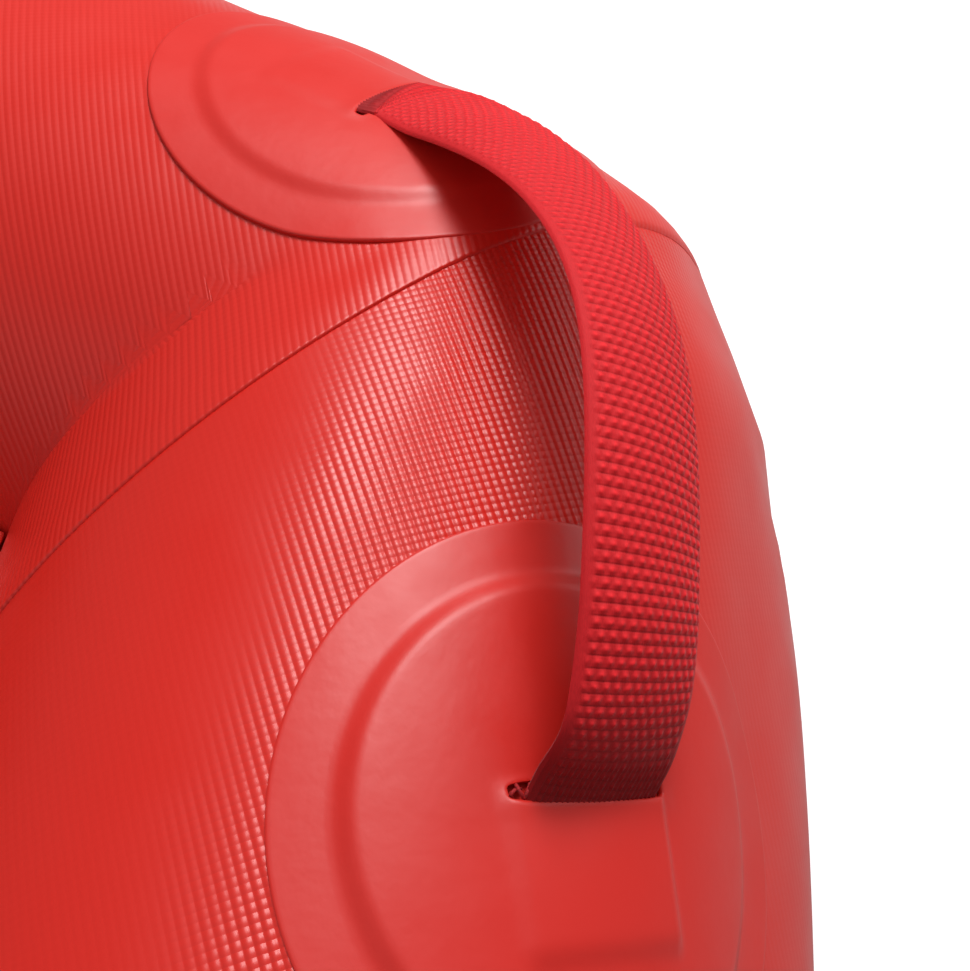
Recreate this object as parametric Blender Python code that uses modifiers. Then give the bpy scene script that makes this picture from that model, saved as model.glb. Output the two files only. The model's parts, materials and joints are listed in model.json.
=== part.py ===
"""Inflatable dive float board.

A ring of round air tubes with mitred corners stands around a recessed air deck.
Each corner has a webbing carry handle held by two round cover patches.  The tubes
and the deck have a valve each, and there is a towing ring at bow and stern.
Metres; the bow points to +X, port is +Y, and the tubes rest on Z = 0.
"""
import math

import bmesh
import bpy
import numpy as np
from mathutils import Vector

# Whole board
BOARD_LENGTH = 1.000
BOARD_WIDTH = 0.600
TUBE_RADIUS = 0.075
FABRIC = 0.0010
MERGE = 1e-6

# Centre line of the tubes, seen from above
CORNER_RADIUS = 0.025
BOW_CORNER_TURN = math.radians(72)
STERN_CORNER_TURN = math.radians(90)
BOW_TIP_RADIUS = 0.150
BEND_STEP = math.radians(9)

# Tube panels and the bands behind their seams
TUBE_SIDES = 24
SEAM_SETBACK = 0.004
SEAM_GAP = 0.0003
BAND_HALF_WIDTH = 0.013
BAND_CLEARANCE = 0.0004
BAND_FABRIC = 0.0008

# Air deck between the tubes
DECK_LEVEL = 0.030
DECK_CROWN = 0.015
DECK_LOBES = 3
DECK_CLEARANCE = 0.0004
DECK_END_ROUNDING = 0.055
DECK_END_STEPS = (0.0, 0.22, 0.55, 1.0)
DECK_STEPS_PER_LOBE = 4
WEB_FABRIC = 0.0008
WEB_CLEARANCE = 0.0006
WEB_END_GAP = 0.060

# Carry handles: places along the tube are counted from where the corner bend starts
SIDE_PATCH_BACK = 0.0820
SIDE_PATCH_TILT = math.radians(33.3)
END_PATCH_PAST = 0.0018
END_PATCH_TILT = math.radians(22.3)
SIDE_SLIT_SHIFT = (0.0028, -0.0011)
SIDE_SLIT_TURN = math.radians(17.6)
END_SLIT_SHIFT = (-0.0018, -0.0060)
END_SLIT_TURN = math.radians(7.6)
COVER_RADIUS = 0.045
COVER_STEP_OUTER = 0.0375
COVER_STEP_INNER = 0.0335
COVER_FABRIC = 0.0009
COVER_SIDES = 20
BACKING_RADIUS = 0.0325
BACKING_FABRIC = 0.0009
LAYER_GAP = 0.0004
SLIT_LENGTH = 0.030
SLIT_WIDTH = 0.0085
SLIT_AHEAD = 0.0015
SLIT_SQUARENESS = 0.40
COVER_OVER_TAB = 0.00035

# Webbing
WEBBING_WIDTH = 0.025
WEBBING = 0.0018
TAB_GAP = 0.00035
ARCH_HEIGHT = 0.0305
ARCH_LEAN = math.radians(30.8)
ARCH_FULLNESS = 1.3845
ARCH_TWIST = (0.132, 0.774, -0.492)
ARCH_LIFT = 0.0019
ARCH_SPRING = 0.0024
ARCH_SPRING_PLACE = 0.10
ARCH_SPLIT = 0.020
ARCH_SPLIT_GAP = 0.0004
ARCH_STEPS = 16
TAB_FLAT_STEPS = (0.017, 0.009, 0.0017)
TAB_RISE_STEPS = (0.035, 0.060, 0.090, 0.125, 0.165, 0.210, 0.260, 0.310)
GRIP_START = 0.13
SETTLE_START = 0.07
SETTLE_SPAN = 0.25

# Valves
VALVE_BODY_RADIUS = 0.0125
VALVE_RIM_RADIUS = 0.0155
VALVE_RIM = 0.0020
VALVE_BORE_RADIUS = 0.0090
VALVE_DEPTH = 0.0140
VALVE_SEAT_LEVEL = -0.0115
VALVE_SEAT = 0.0015
VALVE_GUIDE_RADIUS = 0.0019
VALVE_PORT_RADIUS = 0.0017
VALVE_PORT_PLACE = 0.0052
VALVE_PORTS = 4
VALVE_HOLE_CLEARANCE = 0.0004
VALVE_FLANGE_RADIUS = 0.030
VALVE_FLANGE_FABRIC = 0.0009
VALVE_SIDES = 20
TUBE_VALVE_FROM_MIDDLE = 0.085
DECK_VALVE_FROM_STERN = 0.235
POPPET_DISC_RADIUS = 0.0078
POPPET_DISC = 0.0012
POPPET_STEM_RADIUS = 0.0014
BUTTON_RADIUS = 0.0042
BUTTON = 0.0014
BUTTON_LEVEL = -0.0010
FIT_GAP = 0.0003
SPRING_RADIUS = 0.0027
SPRING_WIRE_RADIUS = 0.0003
SPRING_TURNS = 3.5
SPRING_STEPS_PER_TURN = 10
CAP_RADIUS = 0.0148
CAP_GRIP_RADIUS = 0.0120
CAP_PLATE = 0.0030
CAP_GRIP = 0.0030
CAP_PLUG_RADIUS = 0.0086
CAP_PLUG_WALL = 0.0014
CAP_PLUG_DEPTH = 0.0040

# Towing rings
RING_TILT = math.radians(50)
RING_PATCH_RADIUS = 0.030
RING_PATCH_FABRIC = 0.0009
RING_WIRE_RADIUS = 0.0025
RING_HALF_BAR = 0.0165
RING_REACH = 0.021
RING_CORNER = 0.004
LOOP_WIDTH = 0.025
LOOP_STRAP = 0.0016
LOOP_GAP = 0.00035
LOOP_LEG = 0.020
LOOP_LEG_STEPS = (1.0, 0.6, 0.2)
LOOP_TURN_STEPS = (-90, -54, -18, 18, 54, 90, 115)
RING_ARC_STEPS = 9


def clear_scene():
    """Take out whatever the new file holds."""
    for item in list(bpy.data.objects):
        bpy.data.objects.remove(item, do_unlink=True)


def new_collection(name):
    """A collection linked to the scene."""
    collection = bpy.data.collections.new(name)
    bpy.context.scene.collection.children.link(collection)
    return collection


def surface_material(name, colour, roughness, metallic=0.0):
    """A plain surface with one colour."""
    material = bpy.data.materials.new(name)
    material.use_nodes = True
    shader = material.node_tree.nodes["Principled BSDF"]
    shader.inputs["Base Color"].default_value = (*colour, 1.0)
    shader.inputs["Roughness"].default_value = roughness
    shader.inputs["Metallic"].default_value = metallic
    return material


def hull_fabric():
    """Red coated fabric of the tubes."""
    return surface_material("hull_fabric", (0.62, 0.028, 0.022), 0.42)


def deck_fabric():
    """Red coated fabric of the air deck."""
    return surface_material("deck_fabric", (0.58, 0.026, 0.021), 0.48)


def patch_fabric():
    """Smooth red sheet of the welded patches."""
    return surface_material("patch_fabric", (0.56, 0.024, 0.020), 0.38)


def red_webbing():
    """Deep red woven webbing."""
    return surface_material("red_webbing", (0.48, 0.012, 0.018), 0.75)


def band_fabric():
    """Pale coated fabric inside the board."""
    return surface_material("band_fabric", (0.62, 0.60, 0.56), 0.60)


def valve_plastic():
    """Black valve mouldings."""
    return surface_material("valve_plastic", (0.020, 0.020, 0.022), 0.40)


def poppet_plastic():
    """Grey plunger mouldings."""
    return surface_material("poppet_plastic", (0.30, 0.30, 0.31), 0.45)


def spring_steel():
    """Spring wire."""
    return surface_material("spring_steel", (0.60, 0.60, 0.60), 0.30, 1.0)


def ring_steel():
    """Stainless steel of the towing rings."""
    return surface_material("ring_steel", (0.66, 0.66, 0.65), 0.22, 1.0)


def unit(vectors):
    """Vectors scaled to length one along the last axis."""
    return vectors / np.linalg.norm(vectors, axis=-1, keepdims=True)


def plan_vector(angle):
    """Unit vectors seen from above."""
    return np.stack([np.cos(angle), np.sin(angle)], axis=-1)


def centre_line():
    """The tubes' centre line as straight runs and bends, from the stern's middle to starboard and round.

    Each run is (start, heading, length, turn, place of its start along the line).
    """
    half_width = BOARD_WIDTH / 2 - TUBE_RADIUS
    half_tip = math.pi / 2 - BOW_CORNER_TURN
    corner_in = CORNER_RADIUS * (1 - math.cos(BOW_CORNER_TURN))
    bow_run = (half_width - corner_in - BOW_TIP_RADIUS * math.sin(half_tip)) / math.sin(BOW_CORNER_TURN)
    bow_reach = CORNER_RADIUS * math.sin(BOW_CORNER_TURN) + bow_run * math.cos(BOW_CORNER_TURN)
    bow_reach += BOW_TIP_RADIUS * (1 - math.cos(half_tip))
    side_run = BOARD_LENGTH - 2 * TUBE_RADIUS - CORNER_RADIUS - bow_reach
    stern_run = half_width - CORNER_RADIUS
    shape = [(stern_run, 0.0), (CORNER_RADIUS * STERN_CORNER_TURN, STERN_CORNER_TURN), (side_run, 0.0),
             (CORNER_RADIUS * BOW_CORNER_TURN, BOW_CORNER_TURN), (bow_run, 0.0)]
    shape = shape + [(2 * BOW_TIP_RADIUS * half_tip, 2 * half_tip)] + shape[::-1]
    place = np.array([TUBE_RADIUS - BOARD_LENGTH / 2, 0.0])
    heading = -math.pi / 2
    begin = 0.0
    runs = []
    for length, turn in shape:
        runs.append((place, heading, length, turn, begin))
        place = run_place(runs[-1], np.array([begin + length]), np.zeros(1))[0]
        heading += turn
        begin += length
    return runs


def run_place(run, along, out):
    """Places beside one run, at a distance out to its outer side."""
    start, heading, length, turn, begin = run
    travel = along - begin
    if not turn:
        beside = out[:, None] * plan_vector(heading - math.pi / 2)
        return start + travel[:, None] * plan_vector(heading) + beside
    radius = length / turn
    centre = start + radius * plan_vector(heading + math.pi / 2)
    return centre + (radius + out)[:, None] * plan_vector(heading - math.pi / 2 + travel / radius)


def crease_depth(run, out):
    """How far a straight run is shortened by the crease inside the bend that follows it."""
    length, turn = run[2], run[3]
    if not turn:
        return np.zeros_like(out)
    return np.maximum(0.0, -(length / turn + out) * math.tan(turn / 2))


RUNS = centre_line()
LINE_LENGTH = sum(run[2] for run in RUNS)


def beside_line(along, out):
    """Places beside the centre line; inside a tight bend they stay on the crease where two runs meet."""
    along = along % LINE_LENGTH
    place = np.zeros((len(along), 2))
    for number, run in enumerate(RUNS):
        start, heading, length, turn, begin = run
        inside = (along >= begin) & (along <= begin + length)
        if turn:
            radius = length / turn
            centre = start + radius * plan_vector(heading + math.pi / 2)
            crease = centre + ((radius + out) / math.cos(turn / 2))[:, None] * plan_vector(
                heading - math.pi / 2 + turn / 2)
            here = np.where((radius + out > 0)[:, None], run_place(run, along, out), crease)
        else:
            first = begin + crease_depth(RUNS[number - 1], out)
            last = begin + length - crease_depth(RUNS[(number + 1) % len(RUNS)], out)
            here = run_place(run, np.clip(along, first, last), out)
        place[inside] = here[inside]
    return place


def tube_places(along, tilt, radius):
    """Points on a round tube: tilt is 0 on the crest and grows to the outer side."""
    plan = beside_line(along, radius * np.sin(tilt))
    return np.column_stack([plan, TUBE_RADIUS + radius * np.cos(tilt)])


def line_foot(plan):
    """The nearest place on the centre line to each place seen from above."""
    best = np.full(len(plan), np.inf)
    foot = np.zeros_like(plan)
    for start, heading, length, turn, _ in RUNS:
        if turn:
            radius = length / turn
            centre = start + radius * plan_vector(heading + math.pi / 2)
            reach = plan - centre
            angle = np.arctan2(reach[:, 1], reach[:, 0]) - (heading - math.pi / 2)
            angle = (angle + math.pi) % (2 * math.pi) - math.pi
            near = centre + radius * plan_vector(heading - math.pi / 2 + np.clip(angle, 0.0, turn))
        else:
            travel = np.clip((plan - start) @ plan_vector(heading), 0.0, length)
            near = start + travel[:, None] * plan_vector(heading)
        distance = np.linalg.norm(plan - near, axis=1)
        closer = distance < best
        foot[closer] = near[closer]
        best[closer] = distance[closer]
    return foot


def onto_tube(points):
    """The nearest points of the tubes' surface, and the directions out of it."""
    centre = np.column_stack([line_foot(points[:, :2]), np.full(len(points), TUBE_RADIUS)])
    outward = unit(points - centre)
    return centre + TUBE_RADIUS * outward, outward


def tube_frame(along, tilt, way=1.0):
    """A point on the tube with its directions along the tube, round to the outer side, and out.

    way is -1 for a first direction against the way the centre line is traced.
    """
    beside = along + np.array([-1e-4, 0.0, 1e-4])
    near = tube_places(beside, np.full(3, tilt), TUBE_RADIUS)
    forward = unit(near[2] - near[0])
    outward = onto_tube(near[1:2])[1][0]
    return near[1], forward * way, unit(np.cross(forward, outward)), outward


def lay_on_tube(middle, first, second, across, up, height, steps=16):
    """Points reached by walking over the tube from a middle point.

    The walk goes across along the first direction and up along the second; height lifts its end.
    """
    reach = np.hypot(across, up)
    angle = np.arctan2(up, across)
    heading = np.cos(angle)[:, None] * first + np.sin(angle)[:, None] * second
    point = np.repeat(middle[None, :], len(across), axis=0)
    point, outward = onto_tube(point)
    for _ in range(steps):
        point, outward = onto_tube(point + heading * (reach / steps)[:, None])
        heading = unit(heading - outward * np.sum(heading * outward, axis=1)[:, None])
    return point + outward * height[:, None]


def smooth_step(value):
    """Ease from 0 to 1."""
    value = np.clip(value, 0.0, 1.0)
    return value * value * (3 - 2 * value)


def place_object(item, material, collection=None):
    """Give an object its material and put it in its collection."""
    item.data.materials.clear()
    if material is not None:
        item.data.materials.append(material)
    (collection or BOARD).objects.link(item)
    return item


def mesh_object(name, shape, material, origin=(0.0, 0.0, 0.0), smooth=True, collection=None):
    """An object from an edited mesh, placed at its origin."""
    mesh = bpy.data.meshes.new(name)
    shape.to_mesh(mesh)
    shape.free()
    mesh.polygons.foreach_set("use_smooth", [smooth] * len(mesh.polygons))
    item = bpy.data.objects.new(name, mesh)
    item.location = origin
    return place_object(item, material, collection)


def formed_sheet(name, rows, columns, form, thickness, side, material, facing=None, origin=(0.0, 0.0, 0.0)):
    """A flat grid bent to a form and thickened.

    form gives the places for the grid's two coordinates, each 0 to 1; side is 1 to thicken away from
    the faces' front, -1 behind them and 0 on both; the faces' front looks along facing.
    """
    shape = bmesh.new()
    bmesh.ops.create_grid(shape, x_segments=columns, y_segments=rows, size=0.5)
    flat = np.array([vert.co[:2] for vert in shape.verts]) + 0.5
    for vert, place in zip(shape.verts, form(flat[:, 0], flat[:, 1]) - np.array(origin)):
        vert.co = place
    bmesh.ops.remove_doubles(shape, verts=shape.verts, dist=MERGE)
    bmesh.ops.dissolve_degenerate(shape, edges=shape.edges, dist=MERGE)
    if facing is not None:
        looking = sum((face.normal * face.calc_area() for face in shape.faces), Vector())
        if looking.dot(Vector(facing)) < 0:
            bmesh.ops.reverse_faces(shape, faces=shape.faces)
    item = mesh_object(name, shape, material, origin)
    thicken = item.modifiers.new("thickness", 'SOLIDIFY')
    thicken.thickness = thickness
    thicken.offset = side
    thicken.use_even_offset = True
    return item


def revolved(name, profile, material, sides, origin=(0.0, 0.0, 0.0), smooth=True):
    """A closed profile of (radius, height) turned about Z, listed from the top down its outer side."""
    shape = bmesh.new()
    verts = [shape.verts.new((radius, 0.0, height)) for radius, height in profile]
    edges = [shape.edges.new(pair) for pair in zip(verts, verts[1:])]
    if profile[0][0] > 0:
        edges.append(shape.edges.new((verts[-1], verts[0])))
    bmesh.ops.spin(shape, geom=verts + edges, cent=(0, 0, 0), axis=(0, 0, 1), angle=2 * math.pi,
                   steps=sides, use_merge=True)
    bmesh.ops.remove_doubles(shape, verts=shape.verts, dist=MERGE)
    bmesh.ops.recalc_face_normals(shape, faces=shape.faces)
    return mesh_object(name, shape, material, origin, smooth)


def round_cutter(name, radius, depth, origin, sides):
    """A round cutter standing on Z, kept out of the picture."""
    shape = bmesh.new()
    bmesh.ops.create_cone(shape, cap_ends=True, segments=sides, radius1=radius, radius2=radius, depth=depth)
    item = mesh_object(name, shape, None, origin, False, CUTTERS)
    item.hide_render = True
    item.display_type = 'WIRE'
    return item


def cut_away(item, cutter):
    """Take a cutter's volume out of an object."""
    cut = item.modifiers.new("cut", 'BOOLEAN')
    cut.operation = 'DIFFERENCE'
    cut.solver = 'EXACT'
    cut.object = cutter


def trim_flat(item, point, direction):
    """Cut a finished solid at a plane, keep the side the direction points away from, and close the cut."""
    bpy.context.view_layer.update()
    finished = item.evaluated_get(bpy.context.evaluated_depsgraph_get())
    shape = bmesh.new()
    shape.from_mesh(finished.to_mesh())
    finished.to_mesh_clear()
    bmesh.ops.bisect_plane(shape, geom=shape.verts[:] + shape.edges[:] + shape.faces[:],
                           plane_co=Vector(point) - item.location, plane_no=direction, clear_outer=True)
    rim = [edge for edge in shape.edges if edge.is_boundary]
    bmesh.ops.contextual_create(shape, geom=rim)
    bmesh.ops.recalc_face_normals(shape, faces=shape.faces)
    item.modifiers.clear()
    shape.to_mesh(item.data)
    shape.free()
    item.data.polygons.foreach_set("use_smooth", [True] * len(item.data.polygons))


def corner_station(end):
    """Place along the centre line where the starboard corner bend of an end starts on the side tube."""
    length, begin = RUNS[2][2], RUNS[2][4]
    return begin + length if end == "bow" else begin


def corner_way(end):
    """1 where the centre line is traced from the side tube into the corner, -1 where it comes out."""
    return 1.0 if end == "bow" else -1.0


def bend_length(end):
    """Length of the centre line through a corner bend."""
    return CORNER_RADIUS * (BOW_CORNER_TURN if end == "bow" else STERN_CORNER_TURN)


def mirrored(points):
    """The same points on the other side of the board."""
    return np.asarray(points) * np.array([1.0, -1.0, 1.0])


def seam_station(end, port, tilt, radius, shift):
    """Where a corner's upright mitre plane cuts the tube, for each tilt.

    Going out from the centre line the plane also goes toward the corner, at 45 degrees;
    shift moves it along the way the centre line is traced.
    """
    way = corner_way(end)
    shift = -shift if port else shift
    start = corner_station(end)
    corner = beside_line(np.array([start]), np.zeros(1))[0]
    normal = np.array([way, 1.0]) / math.sqrt(2)
    level = way * shift - SEAM_SETBACK / math.sqrt(2)
    low = np.full(len(tilt), -2 * TUBE_RADIUS)
    high = np.full(len(tilt), bend_length(end))
    for _ in range(40):
        middle = (low + high) / 2
        plan = beside_line(start + way * middle, radius * np.sin(tilt))
        beyond = (plan - corner) @ normal > level
        high = np.where(beyond, middle, high)
        low = np.where(beyond, low, middle)
    station = start + way * (low + high) / 2
    return LINE_LENGTH - station if port else station


def row_stations():
    """Where the panels have rows: at the ends of the runs and in steps through the bends."""
    rows = []
    for _, _, length, turn, begin in RUNS:
        steps = max(1, round(turn / BEND_STEP))
        rows += [begin + length * step / steps for step in range(steps)]
    return np.array(rows + [row + LINE_LENGTH for row in rows])


def tube_length(name, first, last, radius, thickness, material):
    """A length of tube wall between two slanted ends, given as functions of the tilt and the radius."""
    around = np.linspace(-math.pi, math.pi, TUBE_SIDES + 1)
    lowest, highest = first(around, radius).min(), last(around, radius).max()
    rows = row_stations()
    rows = rows[(rows > lowest) & (rows < highest)]
    rows = np.concatenate([[lowest], rows, [highest]])

    def form(across, up):
        tilt = (2 * across - 1) * math.pi
        row = np.rint(up * (len(rows) - 1)).astype(int)
        along = np.clip(rows[row], first(tilt, radius), last(tilt, radius))
        return tube_places(along, tilt, radius)

    return formed_sheet(name, len(rows) - 1, TUBE_SIDES, form, thickness, -1, material)


def seam(end, port, shift, wrap=0.0):
    """A slanted tube end at a corner's mitre plane, moved along the tube by shift."""
    return lambda tilt, radius: seam_station(end, port, tilt, radius, shift) + wrap


def tube_panels(material):
    """The four lengths of tube that close the ring, cut where their seams are."""
    half = SEAM_GAP / 2
    ends = {
        "side_tube_starboard": (seam("stern", False, half), seam("bow", False, -half)),
        "bow_tube": (seam("bow", False, half), seam("bow", True, -half)),
        "side_tube_port": (seam("bow", True, half), seam("stern", True, -half)),
        "stern_tube": (seam("stern", True, half), seam("stern", False, -half, LINE_LENGTH)),
    }
    return {name: tube_length(name, *pair, TUBE_RADIUS, FABRIC, material) for name, pair in ends.items()}


def seam_bands(material):
    """The inner bands that join the panels behind the four seams."""
    radius = TUBE_RADIUS - FABRIC - BAND_CLEARANCE
    for end in ("bow", "stern"):
        for port in (False, True):
            first = seam(end, port, -BAND_HALF_WIDTH)
            last = seam(end, port, BAND_HALF_WIDTH)
            name = "seam_band_" + end + ("_port" if port else "_starboard")
            tube_length(name, first, last, radius, BAND_FABRIC, material)


def deck_outline():
    """Distance of the deck's edge from the tubes' centre line."""
    wall = TUBE_RADIUS * math.cos(math.pi / TUBE_SIDES) + DECK_CLEARANCE
    return math.sqrt(wall ** 2 - (DECK_LEVEL - FABRIC) ** 2)


def deck_half_width():
    """Half the width of the deck between the side tubes."""
    return BOARD_WIDTH / 2 - TUBE_RADIUS - deck_outline()


def deck_stern():
    """X of the deck's stern edge."""
    return TUBE_RADIUS - BOARD_LENGTH / 2 + deck_outline()


def deck_bow(y):
    """X of the deck's bow edge, which follows the inner side of the bow tube."""
    along = np.linspace(RUNS[3][4], LINE_LENGTH / 2, 200)
    edge = beside_line(along, np.full(len(along), -deck_outline()))
    return np.interp(-np.abs(y), edge[:, 1], edge[:, 0])


def deck_rise(x, y):
    """How far the deck swells above its edge, in a lobe between each pair of webs."""
    lobe = (y / deck_half_width() + 1) / 2 * DECK_LOBES
    lobe = 2 * (lobe - np.floor(lobe + 1e-9)) - 1
    nearest = np.minimum(x - deck_stern(), deck_bow(y) - x)
    end = 1 - np.clip(nearest / DECK_END_ROUNDING, 0, 1)
    return DECK_CROWN * (1 - lobe * lobe) * np.sqrt(1 - end * end)


def deck_places(across, up):
    """Plan places of the deck's grid, with more rows near the ends."""
    y = (2 * across - 1) * deck_half_width()
    steps = len(DECK_END_STEPS)
    row = np.rint(up * (2 * steps - 1)).astype(int)
    inset = np.array(DECK_END_STEPS + DECK_END_STEPS[::-1])[row] * DECK_END_ROUNDING
    return np.where(row < steps, deck_stern() + inset, deck_bow(y) - inset), y


def air_deck(material, web_material):
    """Deck and bottom sheets, and the webs that hold them to lobes."""
    rows = 2 * len(DECK_END_STEPS) - 1
    sheets = {}
    for name, way in (("deck_sheet", 1.0), ("bottom_sheet", -1.0)):
        def form(across, up):
            x, y = deck_places(across, up)
            return np.column_stack([x, y, TUBE_RADIUS + way * (DECK_LEVEL + deck_rise(x, y))])

        columns = DECK_LOBES * DECK_STEPS_PER_LOBE
        sheets[name] = formed_sheet(name, rows, columns, form, FABRIC, -1, material, facing=(0, 0, way))
    half_height = DECK_LEVEL - FABRIC - WEB_CLEARANCE
    for name, way in (("deck_web_starboard", -1.0), ("deck_web_port", 1.0)):
        y = way * deck_half_width() / DECK_LOBES
        first = deck_stern() + WEB_END_GAP
        last = float(deck_bow(y)) - WEB_END_GAP

        def form(across, up):
            height = TUBE_RADIUS + (2 * up - 1) * half_height
            return np.column_stack([first + across * (last - first), np.full(len(up), y), height])

        formed_sheet(name, 1, 1, form, WEB_FABRIC, 0, web_material)
    return sheets


def pick(values, fraction):
    """The value of the grid row that each fraction stands for."""
    values = np.array(values)
    return values[np.rint(fraction * (len(values) - 1)).astype(int)]


def disc_patch(name, frame, radii, fabric, sides, material, flip):
    """A flat round patch, or a ring, laid over the tube."""
    middle, first, second, outward = frame

    def form(across, up):
        angle = 2 * math.pi * across
        radius = pick(radii, up)
        places = lay_on_tube(middle, first, second, radius * np.cos(angle), radius * np.sin(angle),
                             np.full(len(angle), LAYER_GAP))
        return mirrored(places) if flip else places

    facing = mirrored(outward) if flip else outward
    return formed_sheet(name, len(radii) - 1, sides, form, fabric, 1, material, facing=facing)


def slit_axes(turn):
    """Directions along a slit and across it toward the handle, in the plane of its patch."""
    return np.array([math.sin(turn), math.cos(turn)]), np.array([math.cos(turn), -math.sin(turn)])


def tab_level():
    """Height of the middle of the strap's welded end over the tube."""
    return LAYER_GAP + BACKING_FABRIC + TAB_GAP + WEBBING / 2


def cover_patch(name, frame, shift, turn, material, flip):
    """The round patch over a strap end: raised in the middle, with a slit for the strap."""
    middle, first, second, outward = frame
    long_axis, short_axis = slit_axes(turn)
    raised = tab_level() + WEBBING / 2 + COVER_OVER_TAB
    blend = (0.0, 0.5, 1.0, 1.0, 1.0)
    radii = (COVER_STEP_INNER, COVER_STEP_INNER, COVER_STEP_INNER, COVER_STEP_OUTER, COVER_RADIUS)
    heights = (raised, raised, raised, LAYER_GAP, LAYER_GAP)

    def squared(value):
        return np.sign(value) * np.abs(value) ** SLIT_SQUARENESS

    def form(across, up):
        angle = 2 * math.pi * across
        circle = pick(radii, up)[:, None] * np.column_stack([np.cos(angle), np.sin(angle)])
        slit_angle = angle - math.atan2(long_axis[1], long_axis[0])
        slit = np.array(shift) + SLIT_LENGTH / 2 * squared(np.cos(slit_angle))[:, None] * long_axis
        slit = slit + (SLIT_AHEAD - SLIT_WIDTH / 2 * squared(np.sin(slit_angle)))[:, None] * short_axis
        flat = slit + (circle - slit) * pick(blend, up)[:, None]
        places = lay_on_tube(middle, first, second, flat[:, 0], flat[:, 1], pick(heights, up))
        return mirrored(places) if flip else places

    facing = mirrored(outward) if flip else outward
    return formed_sheet(name, len(radii) - 1, COVER_SIDES, form, COVER_FABRIC, 1, material, facing=facing)


def handle_frames(end):
    """The frames of a starboard handle's two patches: on the side tube and on the end tube."""
    way = corner_way(end)
    side = tube_frame(corner_station(end) - way * SIDE_PATCH_BACK, SIDE_PATCH_TILT, way)
    past = corner_station(end) + way * (bend_length(end) + END_PATCH_PAST)
    return side, tube_frame(past, END_PATCH_TILT, -way)


def slit_place(frame, shift, turn):
    """A slit's middle on the tube, with its outward direction and its direction along the slit."""
    middle, first, second = frame[:3]
    place = lay_on_tube(middle, first, second, np.array([shift[0]]), np.array([shift[1]]), np.zeros(1))
    along = slit_axes(turn)[0]
    return place[0], onto_tube(place)[1][0], unit(along[0] * first + along[1] * second)


def arch_frame(end):
    """The two ends of a handle's arch, its directions, and its slits' directions."""
    side, other = handle_frames(end)
    first = slit_place(side, SIDE_SLIT_SHIFT, SIDE_SLIT_TURN)
    last = slit_place(other, END_SLIT_SHIFT, END_SLIT_TURN)
    start = first[0] + first[1] * ARCH_LIFT
    finish = last[0] + last[1] * ARCH_LIFT
    chord = unit(finish - start)
    up = first[1] + last[1]
    up = unit(up - chord * (up @ chord))
    outer = corner_way(end) * np.cross(chord, up)
    return start, finish, chord, up, outer, first[2], last[2]


def arch_places(end, place, offset):
    """Points of a handle's arch: place runs 0 to 1 along it, offset goes across it to its outer edge."""
    start, finish, chord, up, outer, first_slit, last_slit = arch_frame(end)
    span = np.linalg.norm(finish - start)
    lean = math.cos(ARCH_LEAN) * up + math.sin(ARCH_LEAN) * outer

    def sprung(value):
        return value / ARCH_SPRING_PLACE * np.exp(1 - value / ARCH_SPRING_PLACE)

    def middle(value):
        angle = math.pi * value
        cosine = np.cos(angle)
        along = (1 - np.sign(cosine) * np.abs(cosine) ** ARCH_FULLNESS) / 2
        height = ARCH_HEIGHT * np.sin(angle) ** ARCH_FULLNESS
        lift = ARCH_SPRING * (sprung(value) + sprung(1 - value))
        return start + (along * span)[:, None] * chord + height[:, None] * lean + lift[:, None] * up

    step = 1e-3
    centre = middle(place)
    run = unit(middle(np.minimum(place + step, 1)) - middle(np.maximum(place - step, 0)))
    width = unit(outer - run * (run @ outer)[:, None])
    begin, swell, close = ARCH_TWIST
    twist = begin * (1 - place) ** 2 + close * place ** 2 + 2 * swell * place * (1 - place)
    turned = corner_way(end) * np.cross(run, width)
    width = width * np.cos(twist)[:, None] + turned * np.sin(twist)[:, None]
    near_first = (1 - smooth_step((place - SETTLE_START) / SETTLE_SPAN))[:, None]
    near_last = (1 - smooth_step((1 - place - SETTLE_START) / SETTLE_SPAN))[:, None]
    width = unit(width * (1 - near_first - near_last) + first_slit * near_first + last_slit * near_last)
    return centre + offset[:, None] * width


def grip(name, end, material, flip):
    """The free arch of a handle, cut square to its chord at both ends; its origin is on the chord."""
    start, finish, chord = arch_frame(end)[:3]
    origin = (start + finish) / 2

    def form(across, up):
        place = GRIP_START + up * (1 - 2 * GRIP_START)
        places = arch_places(end, place, (across - 0.5) * WEBBING_WIDTH)
        return mirrored(places) if flip else places

    turn = mirrored if flip else np.array
    item = formed_sheet(name, ARCH_STEPS, 2, form, WEBBING, 0, material, origin=turn(origin))
    inset = chord * (ARCH_SPLIT + ARCH_SPLIT_GAP / 2)
    trim_flat(item, turn(start + inset), -turn(chord))
    trim_flat(item, turn(finish - inset), turn(chord))
    return item


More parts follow.
